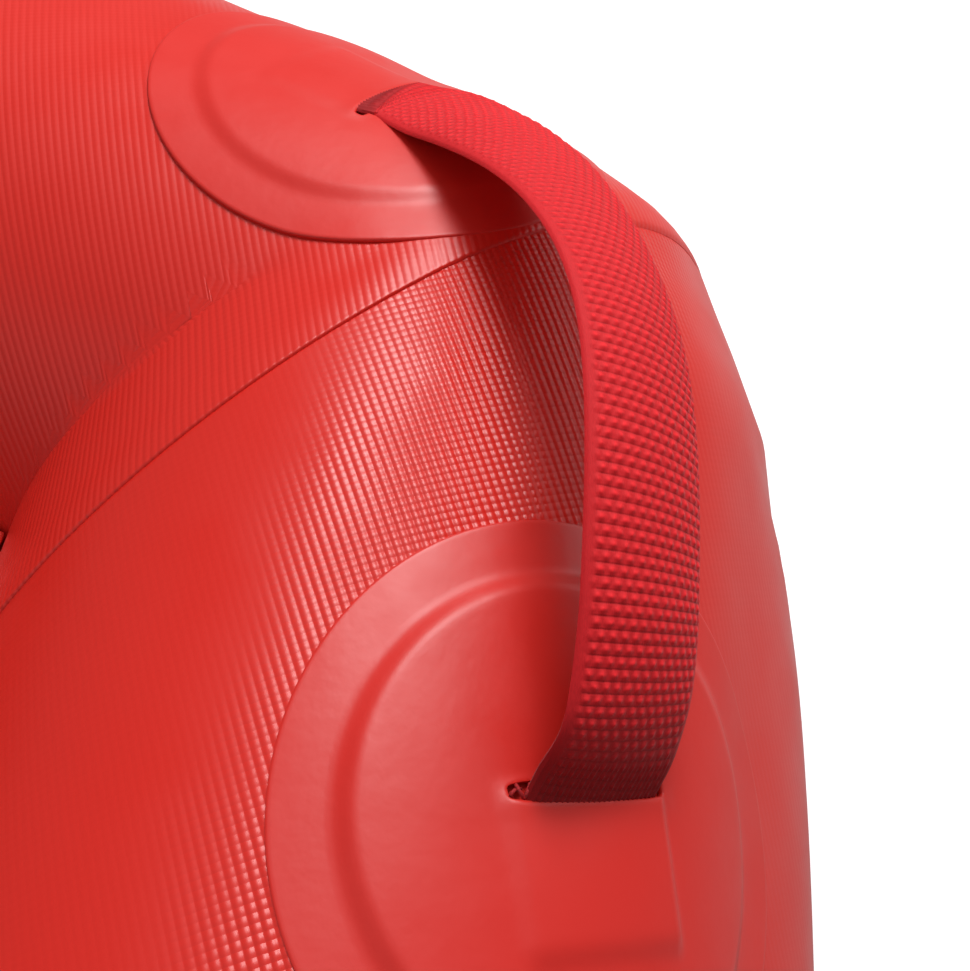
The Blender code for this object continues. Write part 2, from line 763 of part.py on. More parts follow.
def strap_tab(name, end, side, material, flip):
    """A strap end: flat under its cover patch, then out through the slit and up to the grip."""
    frames = handle_frames(end)
    start, finish, chord = arch_frame(end)[:3]
    frame = frames[0] if side else frames[1]
    shift, slit_turn = (SIDE_SLIT_SHIFT, SIDE_SLIT_TURN) if side else (END_SLIT_SHIFT, END_SLIT_TURN)
    long_axis, short_axis = slit_axes(slit_turn)
    middle, first, second = frame[:3]
    flat = len(TAB_FLAT_STEPS)
    steps = TAB_FLAT_STEPS + TAB_RISE_STEPS

    def form(across, up):
        row = np.rint(up * (len(steps) - 1)).astype(int)
        value = np.array(steps)[row]
        offset = (across - 0.5) * WEBBING_WIDTH
        place = np.array(shift) + offset[:, None] * long_axis - value[:, None] * short_axis
        under = lay_on_tube(middle, first, second, place[:, 0], place[:, 1], np.full(len(row), tab_level()))
        rising = arch_places(end, value if side else 1 - value, offset)
        places = np.where((row < flat)[:, None], under, rising)
        return mirrored(places) if flip else places

    turn = mirrored if flip else np.array
    item = formed_sheet(name, len(steps) - 1, 2, form, WEBBING, 0, material, origin=turn(middle))
    inset = chord * (ARCH_SPLIT - ARCH_SPLIT_GAP / 2)
    if side:
        trim_flat(item, turn(start + inset), turn(chord))
    else:
        trim_flat(item, turn(finish - inset), -turn(chord))
    return item


def carry_handle(end, flip, fabric, webbing):
    """One carry handle: grip, strap ends, inner patches and cover patches."""
    name = end + ("_port" if flip else "_starboard")
    side_frame, end_frame = handle_frames(end)
    backing = (0.0, BACKING_RADIUS / 3, 2 * BACKING_RADIUS / 3, BACKING_RADIUS)
    grip(name + "_grip", end, webbing, flip)
    parts = (("_side", side_frame, SIDE_SLIT_SHIFT, SIDE_SLIT_TURN, True),
             ("_end", end_frame, END_SLIT_SHIFT, END_SLIT_TURN, False))
    for part, frame, shift, slit_turn, side in parts:
        disc_patch(name + part + "_backing", frame, backing, BACKING_FABRIC, COVER_SIDES, fabric, flip)
        strap_tab(name + part + "_tab", end, side, webbing, flip)
        cover_patch(name + part + "_cover", frame, shift, slit_turn, fabric, flip)


def rim_level():
    """Height of the underside of a valve's rim over the surface it stands on."""
    return 2 * LAYER_GAP + VALVE_FLANGE_FABRIC


def valve_body(name, base, material):
    """Valve body: rim, wall, and a seat with air ports round the plunger's guide."""
    low, high = rim_level(), rim_level() + VALVE_RIM
    edge = 0.0003
    seat_top = VALVE_SEAT_LEVEL + VALVE_SEAT
    profile = [(VALVE_BORE_RADIUS, high), (VALVE_RIM_RADIUS - edge, high), (VALVE_RIM_RADIUS, high - edge),
               (VALVE_RIM_RADIUS, low), (VALVE_BODY_RADIUS, low), (VALVE_BODY_RADIUS, -VALVE_DEPTH),
               (VALVE_BORE_RADIUS, -VALVE_DEPTH), (VALVE_BORE_RADIUS, VALVE_SEAT_LEVEL),
               (VALVE_GUIDE_RADIUS, VALVE_SEAT_LEVEL), (VALVE_GUIDE_RADIUS, seat_top),
               (VALVE_BORE_RADIUS, seat_top)]
    body = revolved(name, profile, material, VALVE_SIDES, base)
    for port in range(VALVE_PORTS):
        angle = 2 * math.pi * port / VALVE_PORTS + math.pi / VALVE_SIDES
        place = base + np.array([VALVE_PORT_PLACE * math.cos(angle), VALVE_PORT_PLACE * math.sin(angle),
                                 VALVE_SEAT_LEVEL + VALVE_SEAT / 2])
        cut_away(body, round_cutter(name + "_port_%d" % port, VALVE_PORT_RADIUS, 2 * VALVE_SEAT, place, 8))
    return body


def valve_poppet(name, base, material):
    """Plunger: a button on a stem, with the disc that closes the ports from below."""
    under = VALVE_SEAT_LEVEL - FIT_GAP
    profile = [(0.0, BUTTON_LEVEL), (BUTTON_RADIUS, BUTTON_LEVEL), (BUTTON_RADIUS, BUTTON_LEVEL - BUTTON),
               (POPPET_STEM_RADIUS, BUTTON_LEVEL - BUTTON), (POPPET_STEM_RADIUS, under),
               (POPPET_DISC_RADIUS, under), (POPPET_DISC_RADIUS, under - POPPET_DISC),
               (0.0, under - POPPET_DISC)]
    return revolved(name, profile, material, 16, base)


def valve_cap(name, base, material):
    """Cap: a plate with a grip and a hollow plug that fills the bore."""
    low = rim_level() + VALVE_RIM + FIT_GAP
    plug_inner = CAP_PLUG_RADIUS - CAP_PLUG_WALL
    profile = [(0.0, low + CAP_PLATE + CAP_GRIP), (CAP_GRIP_RADIUS, low + CAP_PLATE + CAP_GRIP),
               (CAP_GRIP_RADIUS, low + CAP_PLATE), (CAP_RADIUS, low + CAP_PLATE), (CAP_RADIUS, low),
               (CAP_PLUG_RADIUS, low), (CAP_PLUG_RADIUS, low - CAP_PLUG_DEPTH),
               (plug_inner, low - CAP_PLUG_DEPTH), (plug_inner, low + FIT_GAP), (0.0, low + FIT_GAP)]
    return revolved(name, profile, material, VALVE_SIDES, base)


def wire(name, places, radius, closed, material, origin):
    """A round wire along a list of places."""
    curve = bpy.data.curves.new(name, 'CURVE')
    curve.dimensions = '3D'
    curve.bevel_depth = radius
    curve.bevel_resolution = 1
    curve.use_fill_caps = not closed
    line = curve.splines.new('POLY')
    line.points.add(len(places) - 1)
    line.use_cyclic_u = closed
    for point, place in zip(line.points, places):
        point.co = (*(place - origin), 1.0)
    drawn = bpy.data.objects.new(name + "_line", curve)
    BOARD.objects.link(drawn)
    bpy.context.view_layer.update()
    finished = drawn.evaluated_get(bpy.context.evaluated_depsgraph_get())
    shape = bmesh.new()
    shape.from_mesh(bpy.data.meshes.new_from_object(finished))
    bmesh.ops.remove_doubles(shape, verts=shape.verts, dist=MERGE)
    bmesh.ops.recalc_face_normals(shape, faces=shape.faces)
    bpy.data.objects.remove(drawn, do_unlink=True)
    return mesh_object(name, shape, material, origin)


def valve_spring(name, base, material):
    """Open coil between the seat and the button; prints its least gap to itself."""
    low = VALVE_SEAT_LEVEL + VALVE_SEAT + FIT_GAP + SPRING_WIRE_RADIUS
    high = BUTTON_LEVEL - BUTTON - FIT_GAP - SPRING_WIRE_RADIUS
    count = int(SPRING_TURNS * SPRING_STEPS_PER_TURN)
    angle = np.arange(count + 1) * 2 * math.pi / SPRING_STEPS_PER_TURN
    places = base + np.column_stack([SPRING_RADIUS * np.cos(angle), SPRING_RADIUS * np.sin(angle),
                                     np.linspace(low, high, count + 1)])
    apart = np.linalg.norm(places[:, None, :] - places[None, :, :], axis=2)
    order = np.arange(count + 1)
    far = np.abs(order[:, None] - order[None, :]) > SPRING_STEPS_PER_TURN // 2
    gap = float(apart[far].min()) - 2 * SPRING_WIRE_RADIUS
    print(name, "least gap to itself, mm:", round(gap * 1000, 3))
    return wire(name, places, SPRING_WIRE_RADIUS, False, material, base)


def fit_valve(name, base, host, materials):
    """Put a valve in its host sheet: hole, body, plunger, spring and cap."""
    hole = VALVE_BODY_RADIUS + VALVE_HOLE_CLEARANCE
    cut_away(host, round_cutter(name + "_hole", hole, 4 * VALVE_RIM, base, VALVE_SIDES))
    valve_body(name + "_body", base, materials["valve"])
    valve_poppet(name + "_poppet", base, materials["poppet"])
    valve_spring(name + "_spring", base, materials["spring"])
    valve_cap(name + "_cap", base, materials["valve"])


def flange_radii():
    """Rings of a valve's flange patch, from its hole to its edge."""
    hole = VALVE_BODY_RADIUS + VALVE_HOLE_CLEARANCE
    return (hole, (hole + VALVE_FLANGE_RADIUS) / 2, VALVE_FLANGE_RADIUS)


def tube_valve(host, materials):
    """The tubes' valve, on the crest of the stern tube."""
    frame = tube_frame(LINE_LENGTH - TUBE_VALVE_FROM_MIDDLE, 0.0)
    disc_patch("tube_valve_flange", frame, flange_radii(), VALVE_FLANGE_FABRIC, VALVE_SIDES,
               materials["patch"], False)
    fit_valve("tube_valve", frame[0], host, materials)


def deck_valve(host, materials):
    """The deck's valve, on the crest of its middle lobe."""
    x = DECK_VALVE_FROM_STERN - BOARD_LENGTH / 2
    base = np.array([x, 0.0, TUBE_RADIUS + DECK_LEVEL + DECK_CROWN])

    def form(across, up):
        angle = 2 * math.pi * across
        radius = pick(flange_radii(), up)
        plan = np.column_stack([x + radius * np.cos(angle), radius * np.sin(angle)])
        height = TUBE_RADIUS + DECK_LEVEL + deck_rise(plan[:, 0], plan[:, 1]) + LAYER_GAP
        return np.column_stack([plan, height])

    formed_sheet("deck_valve_flange", len(flange_radii()) - 1, VALVE_SIDES, form, VALVE_FLANGE_FABRIC, 1,
                 materials["patch"], facing=(0, 0, 1))
    fit_valve("deck_valve", base, host, materials)


def towing_ring(name, station, materials):
    """A towing ring: patch on the tube, webbing loop, and a D of round wire that turns in the loop."""
    frame = tube_frame(station, RING_TILT)
    middle, along, outer, outward = frame
    rings = (0.0, RING_PATCH_RADIUS / 3, 2 * RING_PATCH_RADIUS / 3, RING_PATCH_RADIUS)
    disc_patch(name + "_patch", frame, rings, RING_PATCH_FABRIC, COVER_SIDES, materials["patch"], False)
    lower = LAYER_GAP + RING_PATCH_FABRIC + LOOP_GAP + LOOP_STRAP / 2
    upper = lower + LOOP_STRAP + LOOP_GAP
    turn_radius = RING_WIRE_RADIUS + LOOP_GAP + LOOP_STRAP / 2
    bar = (turn_radius, lower + turn_radius)
    path = [(-LOOP_LEG * step, lower) for step in LOOP_LEG_STEPS]
    for degrees in LOOP_TURN_STEPS:
        angle = math.radians(degrees)
        path.append((bar[0] + turn_radius * math.cos(angle), bar[1] + turn_radius * math.sin(angle)))
    path += [(-LOOP_LEG * step, upper) for step in LOOP_LEG_STEPS[1::-1]]
    axis = middle - TUBE_RADIUS * outward

    def around(travel, height):
        angle = np.asarray(travel) / TUBE_RADIUS
        reach = np.cos(angle)[..., None] * outward + np.sin(angle)[..., None] * outer
        return axis + (TUBE_RADIUS + np.asarray(height))[..., None] * reach

    def form(across, up):
        return around(pick([point[0] for point in path], up), pick([point[1] for point in path], up)) + (
            (across - 0.5) * LOOP_WIDTH)[:, None] * along

    formed_sheet(name + "_loop", len(path) - 1, 1, form, LOOP_STRAP, 0, materials["webbing"])
    centre = around(bar[0], bar[1])
    reach = math.cos(bar[0] / TUBE_RADIUS) * outer - math.sin(bar[0] / TUBE_RADIUS) * outward
    wide = RING_HALF_BAR
    flat = [(-wide + RING_CORNER, 0.0), (wide - RING_CORNER, 0.0),
            (wide - 0.3 * RING_CORNER, 0.3 * RING_CORNER)]
    for step in range(RING_ARC_STEPS + 1):
        angle = math.pi * step / RING_ARC_STEPS
        flat.append((wide * math.cos(angle), RING_CORNER + (RING_REACH - RING_CORNER) * math.sin(angle)))
    flat.append((-wide + 0.3 * RING_CORNER, 0.3 * RING_CORNER))
    places = np.array([centre + side * along + out * reach for side, out in flat])
    wire(name, places, RING_WIRE_RADIUS, True, materials["ring"], centre)


def build_board():
    """Build every piece of the board."""
    materials = {"patch": patch_fabric(), "valve": valve_plastic(), "poppet": poppet_plastic(),
                 "spring": spring_steel(), "ring": ring_steel(), "webbing": red_webbing()}
    inner = band_fabric()
    tubes = tube_panels(hull_fabric())
    seam_bands(inner)
    sheets = air_deck(deck_fabric(), inner)
    for end in ("bow", "stern"):
        for flip in (False, True):
            carry_handle(end, flip, materials["patch"], materials["webbing"])
    tube_valve(tubes["stern_tube"], materials)
    deck_valve(sheets["deck_sheet"], materials)
    towing_ring("bow_ring", LINE_LENGTH / 2, materials)
    towing_ring("stern_ring", 0.0, materials)


clear_scene()
BOARD = new_collection("dive_float_board")
CUTTERS = new_collection("cutters")
build_board()
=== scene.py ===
import json
import math

import bmesh
import bpy
import numpy as np
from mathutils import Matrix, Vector


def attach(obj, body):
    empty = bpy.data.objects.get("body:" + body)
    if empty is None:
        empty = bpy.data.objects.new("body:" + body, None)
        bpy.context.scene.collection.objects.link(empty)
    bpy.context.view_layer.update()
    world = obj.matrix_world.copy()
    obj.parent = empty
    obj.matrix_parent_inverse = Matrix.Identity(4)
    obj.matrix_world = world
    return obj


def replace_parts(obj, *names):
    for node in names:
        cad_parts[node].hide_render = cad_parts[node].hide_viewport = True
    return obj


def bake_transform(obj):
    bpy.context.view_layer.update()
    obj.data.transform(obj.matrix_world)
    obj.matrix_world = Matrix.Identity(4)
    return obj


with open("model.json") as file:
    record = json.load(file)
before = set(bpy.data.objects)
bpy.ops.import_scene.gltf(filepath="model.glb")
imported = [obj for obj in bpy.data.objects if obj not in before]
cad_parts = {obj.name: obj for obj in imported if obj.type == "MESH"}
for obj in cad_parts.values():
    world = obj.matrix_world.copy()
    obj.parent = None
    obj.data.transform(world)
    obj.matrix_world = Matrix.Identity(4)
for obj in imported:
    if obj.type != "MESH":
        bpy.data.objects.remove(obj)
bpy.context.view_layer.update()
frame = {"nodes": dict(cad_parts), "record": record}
UP = np.array([0.0, 0.0, 1.0])

# Tubes: the ring's centre line and the panels' laps
BOARD_LENGTH = 1.000
BOARD_WIDTH = 0.600
TUBE_RADIUS = 0.075
FABRIC = 0.0010
CORNER_RADIUS = 0.025
BOW_CORNER_TURN = math.radians(72)
STERN_CORNER_TURN = math.radians(90)
BOW_TIP_RADIUS = 0.150
SEAM_SETBACK = 0.004
LAP_UNDER = 0.012
LAP_RISE = 0.0005
LAP_FLAT = 0.004
LAP_EASE = 0.012
LAP_TUCK = 0.0006
LAP_SUNK = 0.0014
LAP_SINK = 0.003

# Where the tubes are fuller than round ones: bells are (height, place, reach), and tilts are the degrees from
# the crest at which a form starts and over which it grows
FULL_SWELL, FULL_FROM_CORNER, FULL_EASE, FULL_START = 0.0112, 0.006, 0.036, 0.014
CORNER_WAVE, WAVE_FROM, WAVE_LENGTH = 0.0018, 0.004, 0.0165
BOW_DENT = (0.0021, 0.033, 0.015)
BOW_BULGE = (0.0022, 0.108, 0.030)
SWELL_TILTS, WAVE_TILTS, BELL_TILTS, UNDER_TILTS = (58, 34), (25, 30), (10, 30), (110, 50)

# Air deck: DECK_LEVEL is measured from the tubes' middle, DECK_EDGE from their centre line
DECK_LEVEL = 0.030
DECK_CROWN = 0.015
DECK_LOBES = 3
DECK_CLEARANCE = 0.0004
DECK_END_ROUNDING = 0.055
DECK_EDGE = math.sqrt((TUBE_RADIUS + DECK_CLEARANCE) ** 2 - (DECK_LEVEL - FABRIC) ** 2)
DECK_HALF_WIDTH = BOARD_WIDTH / 2 - TUBE_RADIUS - DECK_EDGE
DECK_STERN = TUBE_RADIUS - BOARD_LENGTH / 2 + DECK_EDGE

# Carry handles
SIDE_PATCH_BACK, SIDE_PATCH_TILT = 0.0820, math.radians(33.3)
END_PATCH_PAST, END_PATCH_TILT = 0.0018, math.radians(22.3)
SLIT_LENGTH = 0.0262
SLIT_WIDTH = 0.0027
SLIT_AHEAD = 0.0012
COVER_RADIUS = 0.045
COVER_STEP = 0.0353
BACKING_RADIUS = 0.0325
WEBBING_WIDTH = 0.025
WEBBING = 0.0018
TAB_LENGTH = 0.017
ARCH_POINTS = np.array([(0.0, 0.0, 0.0), (0.039, 0.0122, 0.0032), (0.155, 0.0212, 0.0045),
                        (0.302, 0.0282, 0.0081), (0.456, 0.0303, 0.0119), (0.614, 0.0267, 0.0125),
                        (0.760, 0.0191, 0.0115), (0.888, 0.0090, 0.0084), (0.981, 0.0013, 0.0046),
                        (1.0, 0.0, 0.0)])
ARCH_TURNS = np.array([0.187, 0.280, 0.326, 0.376, -0.076, -0.330, -0.036])[:, None]
ARCH_SETTLE = 0.09
ARCH_CUP = math.radians(24)
ARCH_LIFT = 0.0012
FOOT_NARROWED = 0.08


def unit(vectors):
    """Vectors scaled to length one."""
    return vectors / np.linalg.norm(vectors, axis=-1, keepdims=True)


def rising(value, start, over):
    """Smooth step: 0 up to start, then eased up to 1 over the stretch that follows."""
    share = np.clip((value - start) / over, 0.0, 1.0)
    return share * share * (3 - 2 * share)


def fading(value, start, over):
    """The smooth step turned over: 1 up to start, then eased down to 0."""
    return 1 - rising(value, start, over)


def plan_vector(angle):
    """Unit vectors seen from above: (cos, sin)."""
    return np.stack([np.cos(angle), np.sin(angle)], axis=-1)


def round_angles(count):
    """Angles of evenly spaced points round a circle."""
    return np.arange(count) * 2 * math.pi / count


def length_along(line):
    """Distance walked along a line at each of its points."""
    return np.concatenate([[0.0], np.cumsum(np.linalg.norm(np.diff(line, axis=0), axis=1))])


def run_place(run, along, out):
    """A place beside one run: the run's straight line or arc, moved out to its outer side."""
    start, heading, length, turn, begin = run
    travel = along - begin
    outer = heading - math.pi / 2
    if not turn:
        return start + travel[:, None] * plan_vector(heading) + out[:, None] * plan_vector(outer)
    radius = length / turn
    return start - radius * plan_vector(outer) + (radius + out)[:, None] * plan_vector(outer + travel / radius)


def centre_line():
    """Straight runs and arcs, mirrored about the bow tip, that add up to the board's length and width."""
    half_width = BOARD_WIDTH / 2 - TUBE_RADIUS
    half_tip = math.pi / 2 - BOW_CORNER_TURN
    corner_in = CORNER_RADIUS * (1 - math.cos(BOW_CORNER_TURN))
    bow_run = (half_width - corner_in - BOW_TIP_RADIUS * math.sin(half_tip)) / math.sin(BOW_CORNER_TURN)
    bow_reach = CORNER_RADIUS * math.sin(BOW_CORNER_TURN) + bow_run * math.cos(BOW_CORNER_TURN)
    bow_reach += BOW_TIP_RADIUS * (1 - math.cos(half_tip))
    side_run = BOARD_LENGTH - 2 * TUBE_RADIUS - CORNER_RADIUS - bow_reach
    shape = [(half_width - CORNER_RADIUS, 0.0), (CORNER_RADIUS * STERN_CORNER_TURN, STERN_CORNER_TURN),
             (side_run, 0.0), (CORNER_RADIUS * BOW_CORNER_TURN, BOW_CORNER_TURN), (bow_run, 0.0)]
    shape = shape + [(2 * BOW_TIP_RADIUS * half_tip, 2 * half_tip)] + shape[::-1]
    place, heading, begin, runs = np.array([TUBE_RADIUS - BOARD_LENGTH / 2, 0.0]), -math.pi / 2, 0.0, []
    for length, turn in shape:
        runs.append((place, heading, length, turn, begin))
        place = run_place(runs[-1], np.array([begin + length]), np.zeros(1))[0]
        heading += turn
        begin += length
    return runs


RUNS = centre_line()
LINE_LENGTH = sum(run[2] for run in RUNS)

# Each end's starboard corner: where its bend starts along the centre line, the bend's length, and 1 where the
# line is traced from the side tube into the bend, -1 where it comes out
CORNER_AT = {"bow": RUNS[2][4] + RUNS[2][2], "stern": RUNS[2][4]}
BEND_LENGTH = {"bow": CORNER_RADIUS * BOW_CORNER_TURN, "stern": CORNER_RADIUS * STERN_CORNER_TURN}
WAY = {"bow": 1.0, "stern": -1.0}


def crease_depth(run, out):
    """How far a straight run is shortened by the crease inside the bend that follows it."""
    if not run[3]:
        return np.zeros_like(out)
    return np.maximum(0.0, -(run[2] / run[3] + out) * math.tan(run[3] / 2))


def beside_line(along, out, creased=True):
    """Places beside the centre line; inside a tight bend they stay on the crease where two runs meet."""
    along = along % LINE_LENGTH
    place = np.zeros((len(along), 2))
    for number, run in enumerate(RUNS):
        start, heading, length, turn, begin = run
        inside = (along >= begin) & (along <= begin + length)
        here = run_place(run, along, out)
        if turn and creased:
            radius = length / turn
            centre = start + radius * plan_vector(heading + math.pi / 2)
            crease = centre + ((radius + out) / math.cos(turn / 2))[:, None] * plan_vector(
                heading - math.pi / 2 + turn / 2)
            here = np.where((radius + out > 0)[:, None], here, crease)
        elif creased:
            first = begin + crease_depth(RUNS[number - 1], out)
            last = begin + length - crease_depth(RUNS[(number + 1) % len(RUNS)], out)
            here = run_place(run, np.clip(along, first, last), out)
        place[inside] = here[inside]
    return place


def tube_places(along, tilt, radius):
    """Points on a round tube: tilt is 0 on the crest and grows to the outer side."""
    return np.column_stack([beside_line(along, radius * np.sin(tilt)), TUBE_RADIUS + radius * np.cos(tilt)])


def line_foot(plan):
    """The nearest places on the centre line to places seen from above, and how far along it they are."""
    best, foot, station = np.full(len(plan), np.inf), np.zeros_like(plan), np.zeros(len(plan))
    for start, heading, length, turn, begin in RUNS:
        if turn:
            radius = length / turn
            centre = start + radius * plan_vector(heading + math.pi / 2)
            reach = plan - centre
            angle = np.arctan2(reach[:, 1], reach[:, 0]) - (heading - math.pi / 2)
            angle = (angle + math.pi) % (2 * math.pi) - math.pi
            angle = np.clip(angle, 0.0, turn)
            near, travel = centre + radius * plan_vector(heading - math.pi / 2 + angle), radius * angle
        else:
            travel = np.clip((plan - start) @ plan_vector(heading), 0.0, length)
            near = start + travel[:, None] * plan_vector(heading)
        distance = np.linalg.norm(plan - near, axis=1)
        closer = distance < best
        foot[closer], best[closer], station[closer] = near[closer], distance[closer], (begin + travel)[closer]
    return foot, station


def onto_tube(points):
    """The nearest points of the tubes' surface, and the directions out of it."""
    centre = np.column_stack([line_foot(points[:, :2])[0], np.full(len(points), TUBE_RADIUS)])
    outward = unit(points - centre)
    return centre + TUBE_RADIUS * outward, outward


def tube_frame(along, tilt, way=1.0):
    """A point on the tube, with its directions along the tube, round to the outer side, and out."""
    near = tube_places(along + np.array([-1e-4, 0.0, 1e-4]), np.full(3, tilt), TUBE_RADIUS)
    forward = unit(near[2] - near[0])
    outward = onto_tube(near[1:2])[1][0]
    return near[1], forward * way, unit(np.cross(forward, outward)), outward


def lay_on_tube(patch, flat, height=0.0, steps=16):
    """Walk over the tube from a patch's middle to flat places, then rise by height along the normal."""
    middle, first, second = patch[:3]
    across, up = flat[..., 0].ravel(), flat[..., 1].ravel()
    reach, angle = np.hypot(across, up), np.arctan2(up, across)
    heading = np.cos(angle)[:, None] * first + np.sin(angle)[:, None] * second
    point, outward = onto_tube(np.repeat(middle[None, :], len(across), axis=0))
    for _ in range(steps):
        point, outward = onto_tube(point + heading * (reach / steps)[:, None])
        heading = unit(heading - outward * np.sum(heading * outward, axis=1)[:, None])
    shape = (*flat.shape[:-1], 3)
    outward = outward.reshape(shape)
    return point.reshape(shape) + outward * np.broadcast_to(height, shape[:-1])[..., None], outward


def mirrored(points):
    """The same points on the other side of the board."""
    return np.asarray(points) * np.array([1.0, -1.0, 1.0])


def seam_station(tilt, end, port, shift):
    """Where a corner's upright mitre plane at 45 degrees cuts the tube, by halving, for each tilt."""
    way, start = WAY[end], CORNER_AT[end]
    corner = beside_line(np.array([start]), np.zeros(1))[0]
    low, high = np.full(len(tilt), -2 * TUBE_RADIUS), np.full(len(tilt), BEND_LENGTH[end])
    for _ in range(40):
        middle = (low + high) / 2
        plan = beside_line(start + way * middle, TUBE_RADIUS * np.sin(tilt))
        beyond = (plan - corner) @ np.array([way, 1.0]) > -SEAM_SETBACK
        high, low = np.where(beyond, middle, high), np.where(beyond, low, middle)
    station = start + way * (low + high) / 2
    return (LINE_LENGTH - station if port else station) + shift


def fill_out(points):
    """Points on the tubes moved out where the photographed tube is fuller than a round one.

    The outer side swells from each corner along the side tubes as 1 minus an exponential.  A bow corner has
    one shallow sine wave round its bend, and past it the bow tube has a bell-shaped dent, then a bell-shaped
    bulge.  All of them ease in with the tilt and out again toward the underside.
    """
    flat = points.reshape(-1, 3)
    foot, station = line_foot(flat[:, :2])
    reach = flat[:, :2] - foot
    side = np.sign(np.sum(reach * foot, axis=1))
    tilt = np.degrees(np.arctan2(side * np.linalg.norm(reach, axis=1), flat[:, 2] - TUBE_RADIUS))
    half = np.minimum(station, LINE_LENGTH - station)
    bow, stern = half - CORNER_AT["bow"], CORNER_AT["stern"] - half

    def grown(past):
        away = np.maximum(FULL_FROM_CORNER - past, 0.0)
        return (1 - np.exp(-away / FULL_EASE)) * rising(away, 0.0, FULL_START)

    def bell(height, place, wide):
        return height * np.exp(-((bow - place) / wide) ** 2)

    turn = np.clip((bow - WAVE_FROM) / WAVE_LENGTH, 0.0, 1.0)
    wave = -CORNER_WAVE * np.sin(2 * math.pi * turn) * np.sin(math.pi * turn)
    swell = FULL_SWELL * grown(bow) * grown(stern) * rising(tilt, *SWELL_TILTS)
    swell = swell + wave * rising(tilt, *WAVE_TILTS)
    swell = swell + (bell(*BOW_BULGE) - bell(*BOW_DENT)) * rising(tilt, *BELL_TILTS)
    swell = swell * fading(tilt, *UNDER_TILTS)
    centre = np.column_stack([foot, np.full(len(flat), TUBE_RADIUS)])
    return (flat + unit(flat - centre) * swell[:, None]).reshape(points.shape)


# ---- meshes

MERGED_WITHIN = 1.5e-5
SHARP_FROM = math.radians(50)


def placed(name, data):
    """A new object with this data, in the scene."""
    item = bpy.data.objects.new(name, data)
    bpy.context.scene.collection.objects.link(item)
    return item


def surface(name, grid, slot, body, facing, uv=None, wrap=False, caps=False, keep=None, wall=0.0,
            tone_and_painted_shade=None, outward=False):
    """A mesh of quads over a grid of points [rows, columns, 3].

    facing gives the directions that the faces look along; wrap joins the last column to the first, caps
    closes the first and last rows, keep masks faces out, wall is a thickness behind them, the darkness given
    for the points is kept at them (painted shade on the straps where they run into their slits), and outward
    turns a closed mesh so that its volume is above zero.
    """
    rows, columns = grid.shape[:2]
    number = np.arange(rows * columns).reshape(rows, columns)
    if wrap:
        number = np.column_stack([number, number[:, 0]])

    def corners(values):
        return np.stack([values[:-1, :-1], values[:-1, 1:], values[1:, 1:], values[1:, :-1]], axis=2)

    quads = corners(number).reshape(-1, 4)
    flat = grid.reshape(-1, 3)
    normal = np.cross(flat[quads[:, 2]] - flat[quads[:, 0]], flat[quads[:, 3]] - flat[quads[:, 1]])
    look = np.broadcast_to(facing, grid.shape).reshape(-1, 3)
    turned = np.sum(normal * look[quads[:, 0]]) < 0
    chosen = np.ones(len(quads), bool) if keep is None else keep.reshape(-1)
    order = [3, 2, 1, 0] if turned else [0, 1, 2, 3]
    faces = [tuple(face) for face in quads[chosen][:, order].tolist()]
    if caps:
        ends = [number[0, columns - 1::-1].tolist(), number[-1, :columns].tolist()]
        faces += [tuple(end[::-1] if turned else end) for end in ends]
    mesh = bpy.data.meshes.new(name)
    mesh.from_pydata(flat.tolist(), [], faces)
    if uv is not None:
        loops = np.zeros((len(mesh.loops), 2))
        laid = corners(uv).reshape(-1, 4, 2)[chosen][:, order].reshape(-1, 2)
        loops[:len(laid)] = laid
        mesh.uv_layers.new(name="threads").data.foreach_set("uv", loops.reshape(-1))
    # Keep how dark each point is as an attribute: painted shade where a strap runs into its slits
    if tone_and_painted_shade is not None:
        mesh.attributes.new("tone_and_painted_shade", 'FLOAT', 'POINT').data.foreach_set("value", tone_and_painted_shade.ravel())
    item = placed(name, mesh)
    tidy = bmesh.new()
    tidy.from_mesh(mesh)
    bmesh.ops.remove_doubles(tidy, verts=tidy.verts, dist=MERGED_WITHIN)
    bmesh.ops.dissolve_degenerate(tidy, edges=tidy.edges, dist=1e-6)
    if outward:
        bmesh.ops.recalc_face_normals(tidy, faces=tidy.faces)
        if tidy.calc_volume(signed=True) < 0:
            bmesh.ops.reverse_faces(tidy, faces=tidy.faces)
    tidy.to_mesh(mesh)
    tidy.free()
    mesh.shade_smooth()
    mesh.set_sharp_from_angle(angle=SHARP_FROM)
    if wall:
        thicken = item.modifiers.new("wall", 'SOLIDIFY')
        thicken.thickness = wall
        thicken.offset = -1
    mesh.materials.append(LOOKS[slot])
    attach(item, body)
    return item


def turned(name, profile, base, slot, body, sides, grip=None):
    """A closed profile of (radius, height) carried round Z; grip changes the radius by angle and radius."""
    angle = round_angles(sides)
    radius, height = (np.repeat(profile[:, axis:axis + 1], sides, axis=1) for axis in (0, 1))
    if grip is not None:
        radius = radius + grip(angle, radius)
    grid = base + np.stack([radius * np.cos(angle), radius * np.sin(angle), height], axis=-1)
    closed = np.concatenate([grid, grid[:1]])
    return surface(name, closed, slot, body, closed - base - profile[:, 1].mean() * UP, wrap=True, outward=True)


def rounded(points, bevel):
    """A profile whose corners are cut twice: by the bevel, then by 0.4 of it; short sides by 0.4 of each."""
    for _ in range(2):
        to_next, to_last = (np.roll(points, way, axis=0) - points for way in (-1, 1))
        cut = lambda way: np.minimum(bevel, np.linalg.norm(way, axis=1) * 0.4)[:, None] * unit(way)
        points = np.stack([points + cut(to_last), points + cut(to_next)], axis=1).reshape(-1, 2)
        bevel *= 0.4
    return points


